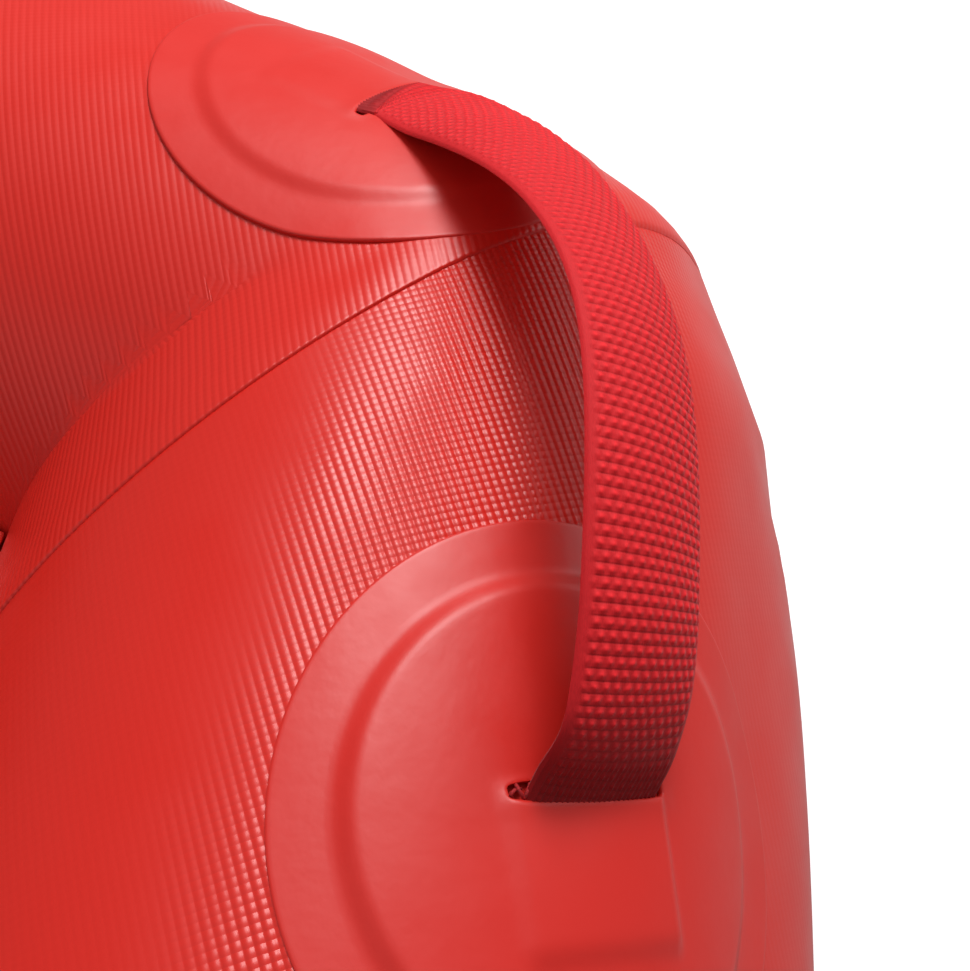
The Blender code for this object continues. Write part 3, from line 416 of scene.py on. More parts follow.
def wire(name, path, radius, normal, slot, body, closed=False, sides=16):
    """A circle carried along a path: each ring lies across the path, measured from a fixed direction."""
    ahead = np.roll(path, -1, axis=0) - np.roll(path, 1, axis=0)
    if not closed:
        ahead[0], ahead[-1] = path[1] - path[0], path[-1] - path[-2]
    ahead = unit(ahead)
    side = unit(normal - ahead * np.sum(ahead * normal, axis=1)[:, None])
    ring = plan_vector(round_angles(sides))
    look = radius * (ring[:, :1] * side[:, None] + ring[:, 1:] * np.cross(ahead, side)[:, None])
    grid = path[:, None] + look
    if closed:
        grid, look = np.concatenate([grid, grid[:1]]), np.concatenate([look, look[:1]])
    return surface(name, grid, slot, body, look, wrap=True, caps=not closed)


# ---- finishes

class Nodes:
    """The nodes of a material or world, with short calls to add to them."""

    def __init__(self, name, kind="materials"):
        self.owner = getattr(bpy.data, kind).new(name)
        self.owner.use_nodes = True
        self.nodes, self.links = self.owner.node_tree.nodes, self.owner.node_tree.links

    def feed(self, node, inputs):
        """Link or set a node's inputs; None leaves one as it is."""
        for key, value in inputs.items():
            if isinstance(value, bpy.types.NodeSocket):
                self.links.new(value, node.inputs[key])
            elif value is not None:
                node.inputs[key].default_value = value
        return node

    def add(self, kind, inputs=None, **settings):
        node = self.nodes.new('ShaderNode' + kind)
        for key, value in settings.items():
            setattr(node, key, value)
        return self.feed(node, inputs or {})

    def math(self, operation, *values):
        return self.add('Math', dict(enumerate(values)), operation=operation).outputs[0]

    def times(self, first, second, plus=0.0):
        """The product of two values, with a third added."""
        return self.math('MULTIPLY_ADD', first, second, plus)

    def noise(self, vector, scale, detail):
        return self.add('TexNoise', {'Vector': vector, 'Scale': scale, 'Detail': detail}).outputs[0]

    def spread(self, value, low, high, to_low=0.0, to_high=1.0):
        return self.add('MapRange', {0: value, 1: low, 2: high, 3: to_low, 4: to_high}).outputs[0]

    def mix(self, factor, first, second):
        return self.add('Mix', {0: factor, 6: first, 7: second}, data_type='RGBA').outputs[2]

    def place(self):
        return self.add('TexCoord').outputs['Object']

    def bump(self, height, distance, strength, under=None):
        return self.add('Bump', {'Height': height, 'Distance': distance, 'Strength': strength,
                                 'Normal': under}).outputs[0]

    def threads(self):
        """The two coordinates of a piece's threads, in metres."""
        laid = self.add('UVMap', uv_map="threads").outputs[0]
        return self.add('SeparateXYZ', {0: laid}).outputs

    def set(self, **values):
        self.feed(self.nodes["Principled BSDF"], {key.replace('_', ' '): values[key] for key in values})
        return self.owner


def shade(colour, factor):
    """A colour made lighter or darker."""
    return (*(min(1.0, part * factor) for part in colour), 1.0)


def drifting(look, colour, tint, rough, bumps, under=None, **more):
    """A finish whose colour and roughness drift by noise, with noise bumps laid one on another.

    tint and rough are (scale, detail, low, high, at low, at high): the noise, the stretch of its values that
    counts, and the shade or roughness at its two ends.  Each bump is (scale, detail, depth, strength).
    """
    place = look.place()
    for scale, detail, depth, strength in bumps:
        under = look.bump(look.noise(place, scale, detail), depth, strength, under)
    tone_and_painted_shade = look.spread(look.noise(place, *tint[:2]), *tint[2:4])
    base = look.mix(tone_and_painted_shade, shade(colour, tint[4]), shade(colour, tint[5]))
    return look.set(Base_Color=base, Roughness=look.spread(look.noise(place, *rough[:2]), *rough[2:]),
                    Normal=under, **more)


def coated_fabric(name, colour, roughness, ridge, cross, full_from, least):
    """Coated cloth: its base cloth's threads print through as lengthwise ridges and finer cross threads.

    They are faint on the inner side of the tubes, full from full_from on, measured across the board, and
    nearly gone on the outer flank.
    """
    look = Nodes(name)
    place = look.place()
    waves = []
    for thread, pitch in zip(look.threads(), THREAD_PITCH):
        wave = look.math('COSINE', look.times(thread, 2 * math.pi / pitch))
        waves.append(look.times(wave, 0.5, 0.5))
    groove = look.math('SUBTRACT', 1.0, look.math('POWER', waves[1], 0.6))
    across = look.math('ABSOLUTE', look.add('SeparateXYZ', {0: place}).outputs[1])
    patchy = look.times(look.noise(place, 30.0, 2.0), 0.030, across)
    patchy = look.spread(patchy, full_from, full_from + 0.020, least, 1.0)
    patchy = look.times(patchy, look.spread(across, FLANK_FROM, FLANK_FROM + 0.016, 1.0, 0.08))
    height = look.times(look.math('POWER', waves[0], 0.7), ridge, look.times(groove, -cross))
    return drifting(look, colour, (7.0, 3.0, 0.3, 0.7, 0.95, 1.04),
                    (60.0, 3.0, 0.3, 0.7, roughness - 0.04, roughness + 0.06),
                    ((900.0, 2.0, 0.00002, 0.5), (34.0, 2.0, 0.0006, 0.30)),
                    look.bump(look.times(height, patchy), 0.00014, 1.0), Specular_IOR_Level=0.5)


def patch_fabric(name, colour):
    """Smooth coated cloth of the round patches: a fine orange-peel skin and slack waves."""
    return drifting(Nodes(name), colour, (9.0, 3.0, 0.3, 0.7, 0.95, 1.05), (80.0, 3.0, 0.3, 0.7, 0.36, 0.46),
                    ((520.0, 2.0, 0.00004, 0.8), (60.0, 2.0, 0.0005, 0.35)), Specular_IOR_Level=0.5)


def webbing_cloth(name, colour):
    """Woven webbing: rows of small yarn bumps in brick order with painted highlight on their tops, painted shade
    as dark lines between the rows, fibres, and painted shade toward the strap's feet.
    """
    look = Nodes(name)
    threads = look.threads()
    fine = look.add('CombineXYZ', {0: look.times(threads[0], 7000.0), 1: look.times(threads[1], 1300.0)})
    fibres = look.noise(fine.outputs[0], 1.0, 2.0)
    sway = look.times(look.noise(look.place(), 420.0, 1.0), 0.7, -0.35)
    pick = look.math('DIVIDE', threads[1], WEAVE_PICK)
    odd = look.times(look.math('MODULO', look.math('FLOOR', pick), 2.0), 0.5)
    plain = look.math('DIVIDE', threads[0], WEAVE_COLUMN)
    column = look.math('ADD', sway, look.math('ADD', plain, odd))
    beside, ahead = (look.times(look.math('FRACT', part), 2.0, -1.0) for part in (column, pick))
    away = look.times(look.times(ahead, ahead), 0.9)
    away = look.times(beside, beside, away)
    dot = look.math('EXPONENT', look.times(away, -3.4))
    off_middle = look.math('ABSOLUTE', look.math('SUBTRACT', plain, WEAVE_COLUMNS / 2))
    inside = look.spread(look.math('SUBTRACT', WEAVE_COLUMNS / 2, off_middle), 0.0, 0.4)
    dot = look.times(dot, inside)
    line = look.times(look.spread(look.math('ABSOLUTE', ahead), 0.70, 0.98), inside)
    # Painted highlight: the bump tops lighter than the yarn between them
    base = look.mix(dot, shade(colour, 0.82), shade(colour, 1.25))
    gaps = look.spread(look.noise(look.place(), 700.0, 2.0), 0.35, 0.65, 0.15, 0.60)
    # Painted shade: dark lines in the grooves between the rows, deeper or fainter by noise
    base = look.mix(look.times(line, gaps), base, shade(colour, 0.30))
    base = look.mix(look.spread(fibres, 0.30, 0.75, 0.0, 0.40), base, shade(colour, 1.15))
    # Painted shade: the strap darkened toward its feet, where it runs into the slits
    tone_and_painted_shade = look.add('Attribute', attribute_name="tone_and_painted_shade").outputs['Fac']
    base = look.mix(look.times(tone_and_painted_shade, 0.80), base, shade(colour, 0.28))
    relief = look.bump(look.times(line, -0.3, dot), 0.00022, 0.8)
    return look.set(Base_Color=base, Roughness=0.70, Sheen_Weight=0.06, Sheen_Roughness=0.4,
                    Normal=look.bump(fibres, 0.00010, 0.7, relief), Specular_IOR_Level=0.25)


def drawn_yarn(name, colour):
    """A loose yarn: fibres, with painted shade making it darker than the webbing, as it lies in the shade of its
    neighbours.
    """
    return drifting(Nodes(name), colour, (3500.0, 2.0, 0.3, 0.7, 0.30, 0.75),
                    (3500.0, 2.0, 0.3, 0.7, 0.75, 0.75), ((3500.0, 2.0, 0.00006, 0.8),))


def moulded_plastic(name, colour, roughness):
    """Moulded plastic with a fine spark-eroded grain and rubbed spots."""
    return drifting(Nodes(name), colour, (150.0, 3.0, 0.35, 0.7, 0.9, 1.4),
                    (150.0, 3.0, 0.35, 0.7, roughness, roughness - 0.1), ((2600.0, 2.0, 0.00003, 0.5),))


def drawn_steel(name, colour, roughness):
    """Stainless steel with fine drawing marks and light scratches."""
    return drifting(Nodes(name), colour, (1800.0, 3.0, 0.3, 0.7, 0.9, 1.05),
                    (300.0, 2.0, 0.3, 0.7, roughness, roughness + 0.12), ((1800.0, 3.0, 0.00001, 0.4),),
                    Metallic=1.0)


THREAD_PITCH = (0.00140, 0.00126)
FLANK_FROM = 0.262
WEAVE_COLUMN = 0.00188
WEAVE_COLUMNS = 12
WEAVE_PICK = 0.00160
HULL_RED = (0.70, 0.020, 0.012)
DECK_RED = (0.68, 0.019, 0.012)
PATCH_RED = (0.69, 0.022, 0.015)
WEBBING_RED = (0.72, 0.014, 0.020)

# For each slot, its kind of finish and what that takes
FINISHES = {
    "hull_fabric": (coated_fabric, HULL_RED, 0.34, 1.0, 0.50, 0.228, 0.07),
    "deck_fabric": (coated_fabric, DECK_RED, 0.40, 0.5, 0.4, 0.0, 0.6),
    "patch_fabric": (patch_fabric, PATCH_RED),
    "webbing": (webbing_cloth, WEBBING_RED),
    "inner_fabric": (patch_fabric, (0.62, 0.60, 0.56)),
    "valve_plastic": (moulded_plastic, (0.020, 0.020, 0.022), 0.45),
    "poppet_plastic": (moulded_plastic, (0.30, 0.30, 0.31), 0.5),
    "spring_steel": (drawn_steel, (0.60, 0.60, 0.60), 0.25),
    "ring_steel": (drawn_steel, (0.66, 0.66, 0.65), 0.18),
}
LOOKS = {slot: kind(slot + "_look", *values) for slot, (kind, *values) in FINISHES.items()}
YARN_LOOK = drawn_yarn("loose_yarn_look", WEBBING_RED)
END_LOOK = coated_fabric("end_tube_fabric_look", HULL_RED, 0.36, 0.40, 0.05, 0.10, 0.5)


def finish_frame_nodes():
    """Give each node of the frame the look of its slot."""
    for row in frame["record"]["subparts"]:
        mesh = frame["nodes"][row["node"]].data
        mesh.materials.clear()
        mesh.materials.append(LOOKS[row["material_slot"]])


# ---- tubes

PANEL_COLUMNS = 120
PANEL_STEP = 0.005
PANEL_EDGE_ROWS = np.array([0.0, 0.0, 0.2, 0.5, 0.9, 1.6, 3.0, 5.0, 8.0, 11.0, 12.5, 15.0]) / 1000
PANEL_EDGE = 0.018
# Each panel's name, its first and last seam as (end, on the port side, shift along the line), whether it laps
# over its neighbours, and the heading of its threads in degrees
PANELS = (("side_tube_starboard", ("stern", False, -LAP_UNDER), ("bow", False, LAP_UNDER), False, 27.7),
          ("side_tube_port", ("bow", True, -LAP_UNDER), ("stern", True, LAP_UNDER), False, -27.7),
          ("bow_tube", ("bow", False, 0.0), ("bow", True, 0.0), True, 19.4),
          ("stern_tube", ("stern", True, 0.0), ("stern", False, LINE_LENGTH), True, -8.0))
VALVE_CLEAR = 0.0165
TUBE_VALVE_AT = LINE_LENGTH - 0.085
DECK_VALVE_AT = np.array([0.235 - BOARD_LENGTH / 2, 0.0])


def turned_threads(x, y, heading):
    """Thread coordinates of places on a cloth laid flat, with its threads turned by heading degrees."""
    sine, cosine = math.sin(math.radians(heading)), math.cos(math.radians(heading))
    return np.stack([cosine * y - sine * x, cosine * x + sine * y], axis=-1)


def tube_panel(name, first, last, over, heading):
    """A fabric panel: rows run from one slanted seam to the other, columns run round the tube.

    over is true for a panel that laps over its neighbours: it stands LAP_RISE proud at its rolled edge and
    eases down.  The others run on under the lap.  The threads follow the panel laid flat, turned by heading.
    """
    tilt = np.linspace(-math.pi, math.pi, PANEL_COLUMNS + 1)
    begin, close = seam_station(tilt, *first), seam_station(tilt, *last)
    span = (close - begin)[None, :]
    near = PANEL_EDGE_ROWS[:, None] + 0 * span
    share = np.linspace(0.0, 1.0, int(span.max() / PANEL_STEP))[:, None]
    into = np.concatenate([near, PANEL_EDGE + (span - 2 * PANEL_EDGE) * share, span - near[::-1]])
    from_edge = np.minimum(into, span - into)
    if over:
        round_off = np.sqrt(1 - (1 - np.clip(from_edge / LAP_RISE, 0, 1)) ** 2)
        height = LAP_RISE * round_off * fading(from_edge, LAP_FLAT, LAP_EASE)
        height[0], height[-1] = -LAP_TUCK, -LAP_TUCK
    else:
        height = -LAP_SUNK * fading(from_edge, LAP_UNDER - LAP_FLAT, LAP_SINK)
    along = (begin + into).ravel()
    tilts = np.broadcast_to(tilt, into.shape).ravel()
    grid = fill_out(tube_places(along, tilts, TUBE_RADIUS + height.ravel())).reshape(*into.shape, 3)
    laid = beside_line(along, TUBE_RADIUS * tilts, creased=False)
    uv = turned_threads(laid[:, 0], laid[:, 1], heading).reshape(*into.shape, 2)
    outward = onto_tube(grid.reshape(-1, 3))[1].reshape(grid.shape)
    middle = (grid[1:, 1:] + grid[1:, :-1] + grid[:-1, 1:] + grid[:-1, :-1]) / 4
    keep = np.linalg.norm(middle - tube_frame(TUBE_VALVE_AT, 0.0)[0], axis=2) > VALVE_CLEAR
    item = surface("panel_" + name, grid[:, :-1], "hull_fabric", "hull", outward[:, :-1], uv=uv, wrap=True,
                   keep=keep, wall=FABRIC)
    if over:
        item.data.materials[0] = END_LOOK
    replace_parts(item, name)


# ---- deck

DECK_COLUMNS = 121
DECK_ROWS = 161
DECK_HEADING = 4.0


def deck_bow(y):
    """X of the deck's bow edge, which follows the inner side of the bow tube."""
    along = np.linspace(RUNS[3][4], LINE_LENGTH / 2, 200)
    edge = beside_line(along, np.full(len(along), -DECK_EDGE))
    return np.interp(-np.abs(y), edge[:, 1], edge[:, 0])


def deck_top(plan, way=1.0):
    """Points of the deck over places seen from above, or of the bottom under them with way -1.

    The swell is the crown times (1 - t squared) across each lobe, rounded down at the ends.
    """
    x, y = plan[..., 0], plan[..., 1]
    lobe = (y / DECK_HALF_WIDTH + 1) / 2 * DECK_LOBES
    lobe = 2 * (lobe - np.floor(np.clip(lobe, 0, DECK_LOBES - 1e-9))) - 1
    end = 1 - np.clip(np.minimum(x - DECK_STERN, deck_bow(y) - x) / DECK_END_ROUNDING, 0, 1)
    rise = DECK_CROWN * (1 - lobe * lobe) * np.sqrt(1 - end * end)
    return np.concatenate([plan, (TUBE_RADIUS + way * (DECK_LEVEL + rise))[..., None]], axis=-1)


def air_deck():
    """Deck and bottom sheets: lobes between the webs, with rows closer together near the ends."""
    across = np.linspace(-1.0, 1.0, DECK_COLUMNS)
    share = (1 - np.cos(np.linspace(0.0, math.pi, DECK_ROWS))) / 2
    y = np.broadcast_to(across * DECK_HALF_WIDTH, (DECK_ROWS, DECK_COLUMNS))
    x = DECK_STERN + (deck_bow(y) - DECK_STERN) * share[:, None]
    plan, uv = np.stack([x, y], axis=-1), turned_threads(x, y, DECK_HEADING)
    beyond_valve = np.linalg.norm((plan[1:, 1:] + plan[:-1, :-1]) / 2 - DECK_VALVE_AT, axis=2) > VALVE_CLEAR
    for node, way in (("deck_sheet", 1.0), ("bottom_sheet", -1.0)):
        item = surface("panel_" + node, deck_top(plan, way), "deck_fabric", "hull", way * UP, uv=uv,
                       keep=beyond_valve | (way < 0), wall=FABRIC)
        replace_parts(item, node)


# ---- carry handles

COVER_COLUMNS = 168
COVER_DISC = 0.0016
COVER_TAB = 0.0008
COVER_EASE = 0.004
COVER_WALL = 0.0007
SLIT_LIP = 0.00015
COVER_ROUND = COVER_STEP - 0.003
# A cover's rings: how far from the slit to the circle COVER_ROUND, how far past it, and how far inside the edge
SLIT_RINGS = (0.0, 0.0, 0.006, 0.016)
COVER_STEP_RINGS = np.array([0.8, 1.5, 2.1, 2.7, 3.3, 3.9, 4.6, 5.5, 6.8, 8.2, 9.6, 11.0]) / 1000
COVER_EDGE_RINGS = np.array([0.8, 0.4, 0.15, 0.0, 0.0]) / 1000
PATCH_COLUMNS = 96
YARN_RADIUS = 0.00027
# Each loose yarn's place along the slit, its loop's radius, its lean and its turn
YARN_LOOPS = ((-0.0104, 0.0013, -0.5, 0.6), (-0.0113, 0.0011, -0.9, -0.5), (-0.0121, 0.0009, -1.3, 1.0))
YARN_NORMAL = np.array([0.3, 0.2, 0.93])
STRAP_STEPS_PER_PICK = 5
STRAP_STEPS_PER_COLUMN = 6
WEAVE_HEIGHT = 0.00026
TAB_LEVEL = 0.0010
TAB_SQUASH = 0.35
TAB_EDGE = 0.001
TAB_SIDE_EASES = (0.0018, 0.0042)
TAB_PLACES = np.array([1000 * TAB_LENGTH, 13.5, 10.0, 7.0, 4.5, 2.5, 0.8]) / 1000
# Distances from a strap's ends at which its form starts to change, and over which it does
FREE_FROM = (TAB_LENGTH - 0.004, 0.006)
COVERED_TO = (TAB_LENGTH - 0.001, 0.010)
RIBS_TO = (0.0215, 0.006)
ARCHED_FROM = (0.026, 0.020)
GATHERED_TO = (0.017, 0.014)
# Painted shade on the strap near each slit: distance from the end at which it starts to fade, and over which it
# does
PAINTED_SHADE_SIDE_TO, PAINTED_SHADE_END_TO = (0.0185, 0.018), (0.0165, 0.004)
# How far along the arch's chord each end's bend starts and stops
SIDE_BEND, END_BEND = (0.0, 0.030), (-0.008, -0.044)


def slit_axes(turn):
    """Directions along a slit turned by so many degrees and across it toward the arch, on its patch."""
    sine, cosine = math.sin(math.radians(turn)), math.cos(math.radians(turn))
    return np.array([sine, cosine]), np.array([cosine, -sine])


# For each patch the slit's place on it and its directions, the height of the cover's rim, and the share of
# COVER_TAB by which the strap end stands up under the cover
SLITS = {"side": (np.array([0.0029, -0.0013]), slit_axes(18.1), 0.0003, 1.0),
         "end": (np.array([0.0011, -0.0017]), slit_axes(4.8), 0.0008, 0.3)}


def handle_frames(end):
    """The frames of a starboard handle's two patches: on the side tube and on the end tube."""
    way = WAY[end]
    return {"side": tube_frame(CORNER_AT[end] - way * SIDE_PATCH_BACK, SIDE_PATCH_TILT, way),
            "end": tube_frame(CORNER_AT[end] + way * (BEND_LENGTH[end] + END_PATCH_PAST), END_PATCH_TILT, -way)}


def slit_place(end, part):
    """A slit's middle on the tube, with its outward direction and its direction along the slit."""
    patch, (shift, axes) = handle_frames(end)[part], SLITS[part][:2]
    place, normal = lay_on_tube(patch, shift[None])
    return place[0], normal[0], unit(axes[0][0] * patch[1] + axes[0][1] * patch[2])


def cover_height(flat, part):
    """Height of a cover's top over the tube at flat places: ring, raised disc, and the strap end's outline."""
    shift, (long_axis, short_axis), ring, tab = SLITS[part]
    reach = np.linalg.norm(flat, axis=-1)
    disc = ring + (COVER_DISC - ring) * fading(reach, COVER_STEP - COVER_EASE / 2, COVER_EASE)
    beside, behind = (flat - shift) @ long_axis, (shift - flat) @ short_axis
    width = fading(np.abs(beside), WEBBING_WIDTH / 2 - TAB_EDGE, np.where(beside > 0, *TAB_SIDE_EASES))
    length = fading(behind, TAB_LENGTH + TAB_EDGE, COVER_EASE) * rising(behind, -COVER_EASE, 0.005)
    lip = SLIT_LIP * np.exp(-(behind / 0.002) ** 2) * fading(np.abs(beside), SLIT_LENGTH / 2 - 0.0001, 0.003)
    return disc + COVER_TAB * tab * width * length + lip


def laid_patch(name, patch, flat, height, steps, flip, wall):
    """A patch's flat places laid on the tube, and filled out with it."""
    grid, look = lay_on_tube(patch, flat, height, steps)
    grid = fill_out(grid)
    if flip:
        grid, look = mirrored(grid), mirrored(look)
    item = surface("patch_" + name, grid, "patch_fabric", "hull", look, wrap=True, wall=wall)
    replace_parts(item, name)


def cover_patch(name, patch, part, flip):
    """A cover: rings morph from the slit's rounded oblong to circles, and both edges roll down to the tube."""
    shift, (long_axis, short_axis), rim = SLITS[part][:3]
    angle = round_angles(COVER_COLUMNS)
    circle = plan_vector(angle)
    slit_angle = angle - math.atan2(long_axis[1], long_axis[0])

    def squared(value):
        return (np.sign(value) * np.abs(value) ** 0.45)[:, None]

    slit = shift + SLIT_LENGTH / 2 * squared(np.cos(slit_angle)) * long_axis
    slit = slit + (SLIT_AHEAD - SLIT_WIDTH / 2 * squared(np.sin(slit_angle))) * short_axis
    blend = np.concatenate([SLIT_RINGS, np.linspace(0.035, 1.0, 34)])[:, None, None]
    radii = np.concatenate([COVER_ROUND + COVER_STEP_RINGS, COVER_RADIUS - COVER_EDGE_RINGS])
    flat = np.concatenate([slit + (circle * COVER_ROUND - slit) * blend, circle * radii[:, None, None]])
    height = cover_height(flat, part)
    height[0], height[1], height[2] = height[2] - 0.0010, height[2] - 0.0004, height[2] - 0.0001
    height[-1], height[-2], height[-3] = -0.0003, height[-4] - 0.5 * rim, height[-4] - 0.15 * rim
    laid_patch(name, patch, flat, height, 12, flip, COVER_WALL)


def round_patch(name, patch, radius, height, flip=False):
    """A disc laid on the tube: constant height, with its edge rolled down."""
    radii = np.concatenate([np.linspace(0.0004, radius - 0.0006, 14), [radius - 0.0002, radius, radius]])
    heights = np.full((len(radii), 1), height)
    heights[-3:, 0] = height - 0.00012, height - 0.0004, -0.0003
    flat = radii[:, None, None] * plan_vector(round_angles(PATCH_COLUMNS))
    laid_patch(name, patch, flat, heights, 10, flip, 0.0006)


def arch_frame(end):
    """The two ends of a handle's arch, its directions, and its slits' directions."""
    first, last = slit_place(end, "side"), slit_place(end, "end")
    start, finish = first[0] + first[1] * ARCH_LIFT, last[0] + last[1] * ARCH_LIFT
    chord = unit(finish - start)
    up = first[1] + last[1]
    up = unit(up - chord * (up @ chord))
    return start, finish, chord, up, WAY[end] * np.cross(chord, up), first[2], last[2]


def blended(points, place):
    """A cubic B-spline over the points for places 0 to 1: each stretch blends four of them."""
    padded = np.concatenate([2 * points[:1] - points[1:2], points, 2 * points[-1:] - points[-2:-1]])
    reach = np.clip(place, 0.0, 1.0) * (len(points) - 1) * (1 - 1e-12)
    index = reach.astype(int)
    t = (reach - index)[:, None]
    weights = ((1 - t) ** 3, 3 * t ** 3 - 6 * t ** 2 + 4, -3 * t ** 3 + 3 * t ** 2 + 3 * t + 1, t ** 3)
    return sum(weight / 6 * padded[index + number] for number, weight in enumerate(weights))


def arch_line(end, place):
    """Middle line and width direction of the arch for places 0 to 1.

    The line is a B-spline over ARCH_POINTS: a share of the way from slit to slit, then metres up and outboard.
    The width is square to it, turned by a B-spline over ARCH_TURNS, and settles into the slits at the ends.
    """
    start, finish, chord, up, outer, first_slit, last_slit = arch_frame(end)
    axes = np.array([finish - start, up, outer])

    def middle(value):
        return start + blended(ARCH_POINTS, value) @ axes

    step = 1e-3
    run = unit(middle(np.minimum(place + step, 1)) - middle(np.maximum(place - step, 0)))
    width = unit(outer - run * (run @ outer)[:, None])
    turn = blended(ARCH_TURNS, place)
    width = width * np.cos(turn) + WAY[end] * np.cross(run, width) * np.sin(turn)
    near_first, near_last = (fading(away, 0.02, ARCH_SETTLE)[:, None] for away in (place, 1 - place))
    width = width * (1 - near_first - near_last) + first_slit * near_first + last_slit * near_last
    return middle(place), unit(width)


def tab_line(end, part, behind):
    """Middle line and width direction of a strap end laid under its cover, for distances behind the slit."""
    patch, (shift, (long_axis, short_axis)) = handle_frames(end)[part], SLITS[part][:2]
    flat = shift - behind[:, None] * short_axis
    line = lay_on_tube(patch, flat, TAB_LEVEL)[0]
    return line, unit(lay_on_tube(patch, flat + 0.005 * long_axis, TAB_LEVEL)[0] - line)


def strap_line(end):
    """The strap's middle line, width and thickness directions and length, from one welded end to the other."""
    pieces = (tab_line(end, "side", TAB_PLACES), arch_line(end, np.linspace(0.030, 0.970, 52)),
              tab_line(end, "end", TAB_PLACES[::-1]))
    fine = np.linspace(0.0, 1.0, 1500)
    line, width = (blended(np.concatenate(part), fine) for part in zip(*pieces))
    length, width = length_along(line), unit(width)
    picks = 2 * round(length[-1] / WEAVE_PICK / 2)
    even = np.linspace(0.0, length[-1], picks * STRAP_STEPS_PER_PICK + 1)
    line, width = (np.column_stack([np.interp(even, length, part[:, axis]) for axis in range(3)])
                   for part in (line, width))
    run = unit(np.gradient(line, axis=0))
    width = unit(width - run * np.sum(width * run, axis=1)[:, None])
    return line, width, np.cross(run, width) * -WAY[end], even


def weave(across, along):
    """Rows of small oval yarn bumps, each row half a bump on from the last, falling off as a bell curve."""
    row = np.floor(along / WEAVE_PICK + 1e-6)
    column = across / WEAVE_COLUMN + 0.5 * (row % 2)
    beside, ahead = 2 * (column % 1.0) - 1, 2 * (along / WEAVE_PICK % 1.0) - 1
    return np.exp(-1.8 * (1.5 * beside ** 2 + 1.3 * ahead ** 2))


def strap_section(steps, squareness):
    """A flat strap's section: places across it from -0.5 to 0.5 and back, their faces, and how plump it is."""
    side = np.linspace(-0.5, 0.5, steps + 1)
    places = np.concatenate([side, side[::-1]])
    return places, np.repeat([1.0, -1.0], steps + 1), (1 - np.abs(2 * places) ** squareness) ** 0.5


def strap_threads(across, along):
    """A strap's thread coordinates, in metres across it and along it."""
    uv = np.stack(np.broadcast_arrays(across, along), axis=-1)
    return np.concatenate([uv, uv[:, :1]], axis=1)


def carry_strap(name, end, flip):
    """A handle's strap: a flat rounded section carried along its line, woven on both faces, in two halves.

    The section is cupped to an arc along the free arch.  The two halves meet in the middle of the arch.
    """
    line, width, rise, along = (part[:, None] for part in strap_line(end))
    around, face, plump = strap_section(round(WEBBING_WIDTH / WEAVE_COLUMN * STRAP_STEPS_PER_COLUMN), 14)
    across, woven = around * WEBBING_WIDTH, WEAVE_COLUMNS * WEAVE_COLUMN
    to_end = along[-1] - along
    from_end = np.minimum(along, to_end)

    # Weave: bumps on the free strap, lengthwise ribs at its feet, and painted shade darkening it toward both
    # slits
    pattern = weave(across + woven / 2, along + (face < 0) * WEAVE_PICK)
    pattern = pattern * rising(woven / 2 - np.abs(across), -0.00025, 0.0005)
    ribs = 0.5 + 0.5 * np.cos(4 * math.pi * across / WEAVE_COLUMN)
    pattern = pattern + (ribs - pattern) * fading(from_end, *RIBS_TO)
    tone_and_painted_shade = np.maximum(fading(along, *PAINTED_SHADE_SIDE_TO), fading(to_end, *PAINTED_SHADE_END_TO))

    # Section: pressed flat under the cover, cupped along the arch, gathered at the side slit
    free, arched = rising(from_end, *FREE_FROM), rising(from_end, *ARCHED_FROM)
    half = (WEBBING / 2 - WEAVE_HEIGHT / 2) * (TAB_SQUASH + (1 - TAB_SQUASH) * free)
    half = (half + WEAVE_HEIGHT * (0.3 + 0.7 * free) * pattern) * plump
    flat_cup = WEBBING_WIDTH / 2 / TUBE_RADIUS
    cup = flat_cup + (ARCH_CUP - flat_cup) * arched
    angle, radius = 2 * around * cup, WEBBING_WIDTH / 2 / cup
    sine, cosine = np.sin(angle)[..., None], np.cos(angle)[..., None]
    gathered = (1 - FOOT_NARROWED * fading(along, *GATHERED_TO)) * radius
    raised = radius[..., None] * (cosine - 1) + (radius * arched * (1 - np.cos(cup)) / 2)[..., None]
    outward = cosine * rise + sine * width
    grid = line + gathered[..., None] * sine * width + raised * rise + (face * half)[..., None] * outward
    covered = fading(from_end, *COVERED_TO)[..., None]
    grid = grid + covered * (fill_out(grid) - grid)

    look, uv = face[:, None] * outward, strap_threads(across + woven / 2, along)
    tone_and_painted_shade = np.broadcast_to(tone_and_painted_shade, half.shape)
    turn = mirrored if flip else np.array
    grid, look = turn(grid), turn(look)
    start, finish, chord = (turn(value) for value in arch_frame(end)[:3])
    middle = len(line) // 2
    halves = (("side", slice(0, middle + 1), start, SIDE_BEND, [name + "_grip"]),
              ("end", slice(middle, None), finish, END_BEND, []))
    for part, rows, slit, bend, more in halves:
        item = surface("strap_%s_%s" % (name, part), grid[rows], "webbing", "hull", look[rows], uv=uv[rows],
                       wrap=True, caps=True, tone_and_painted_shade=tone_and_painted_shade[rows])
        item.parent = None
        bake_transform(item)
        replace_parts(item, name + "_" + part + "_tab", *more)


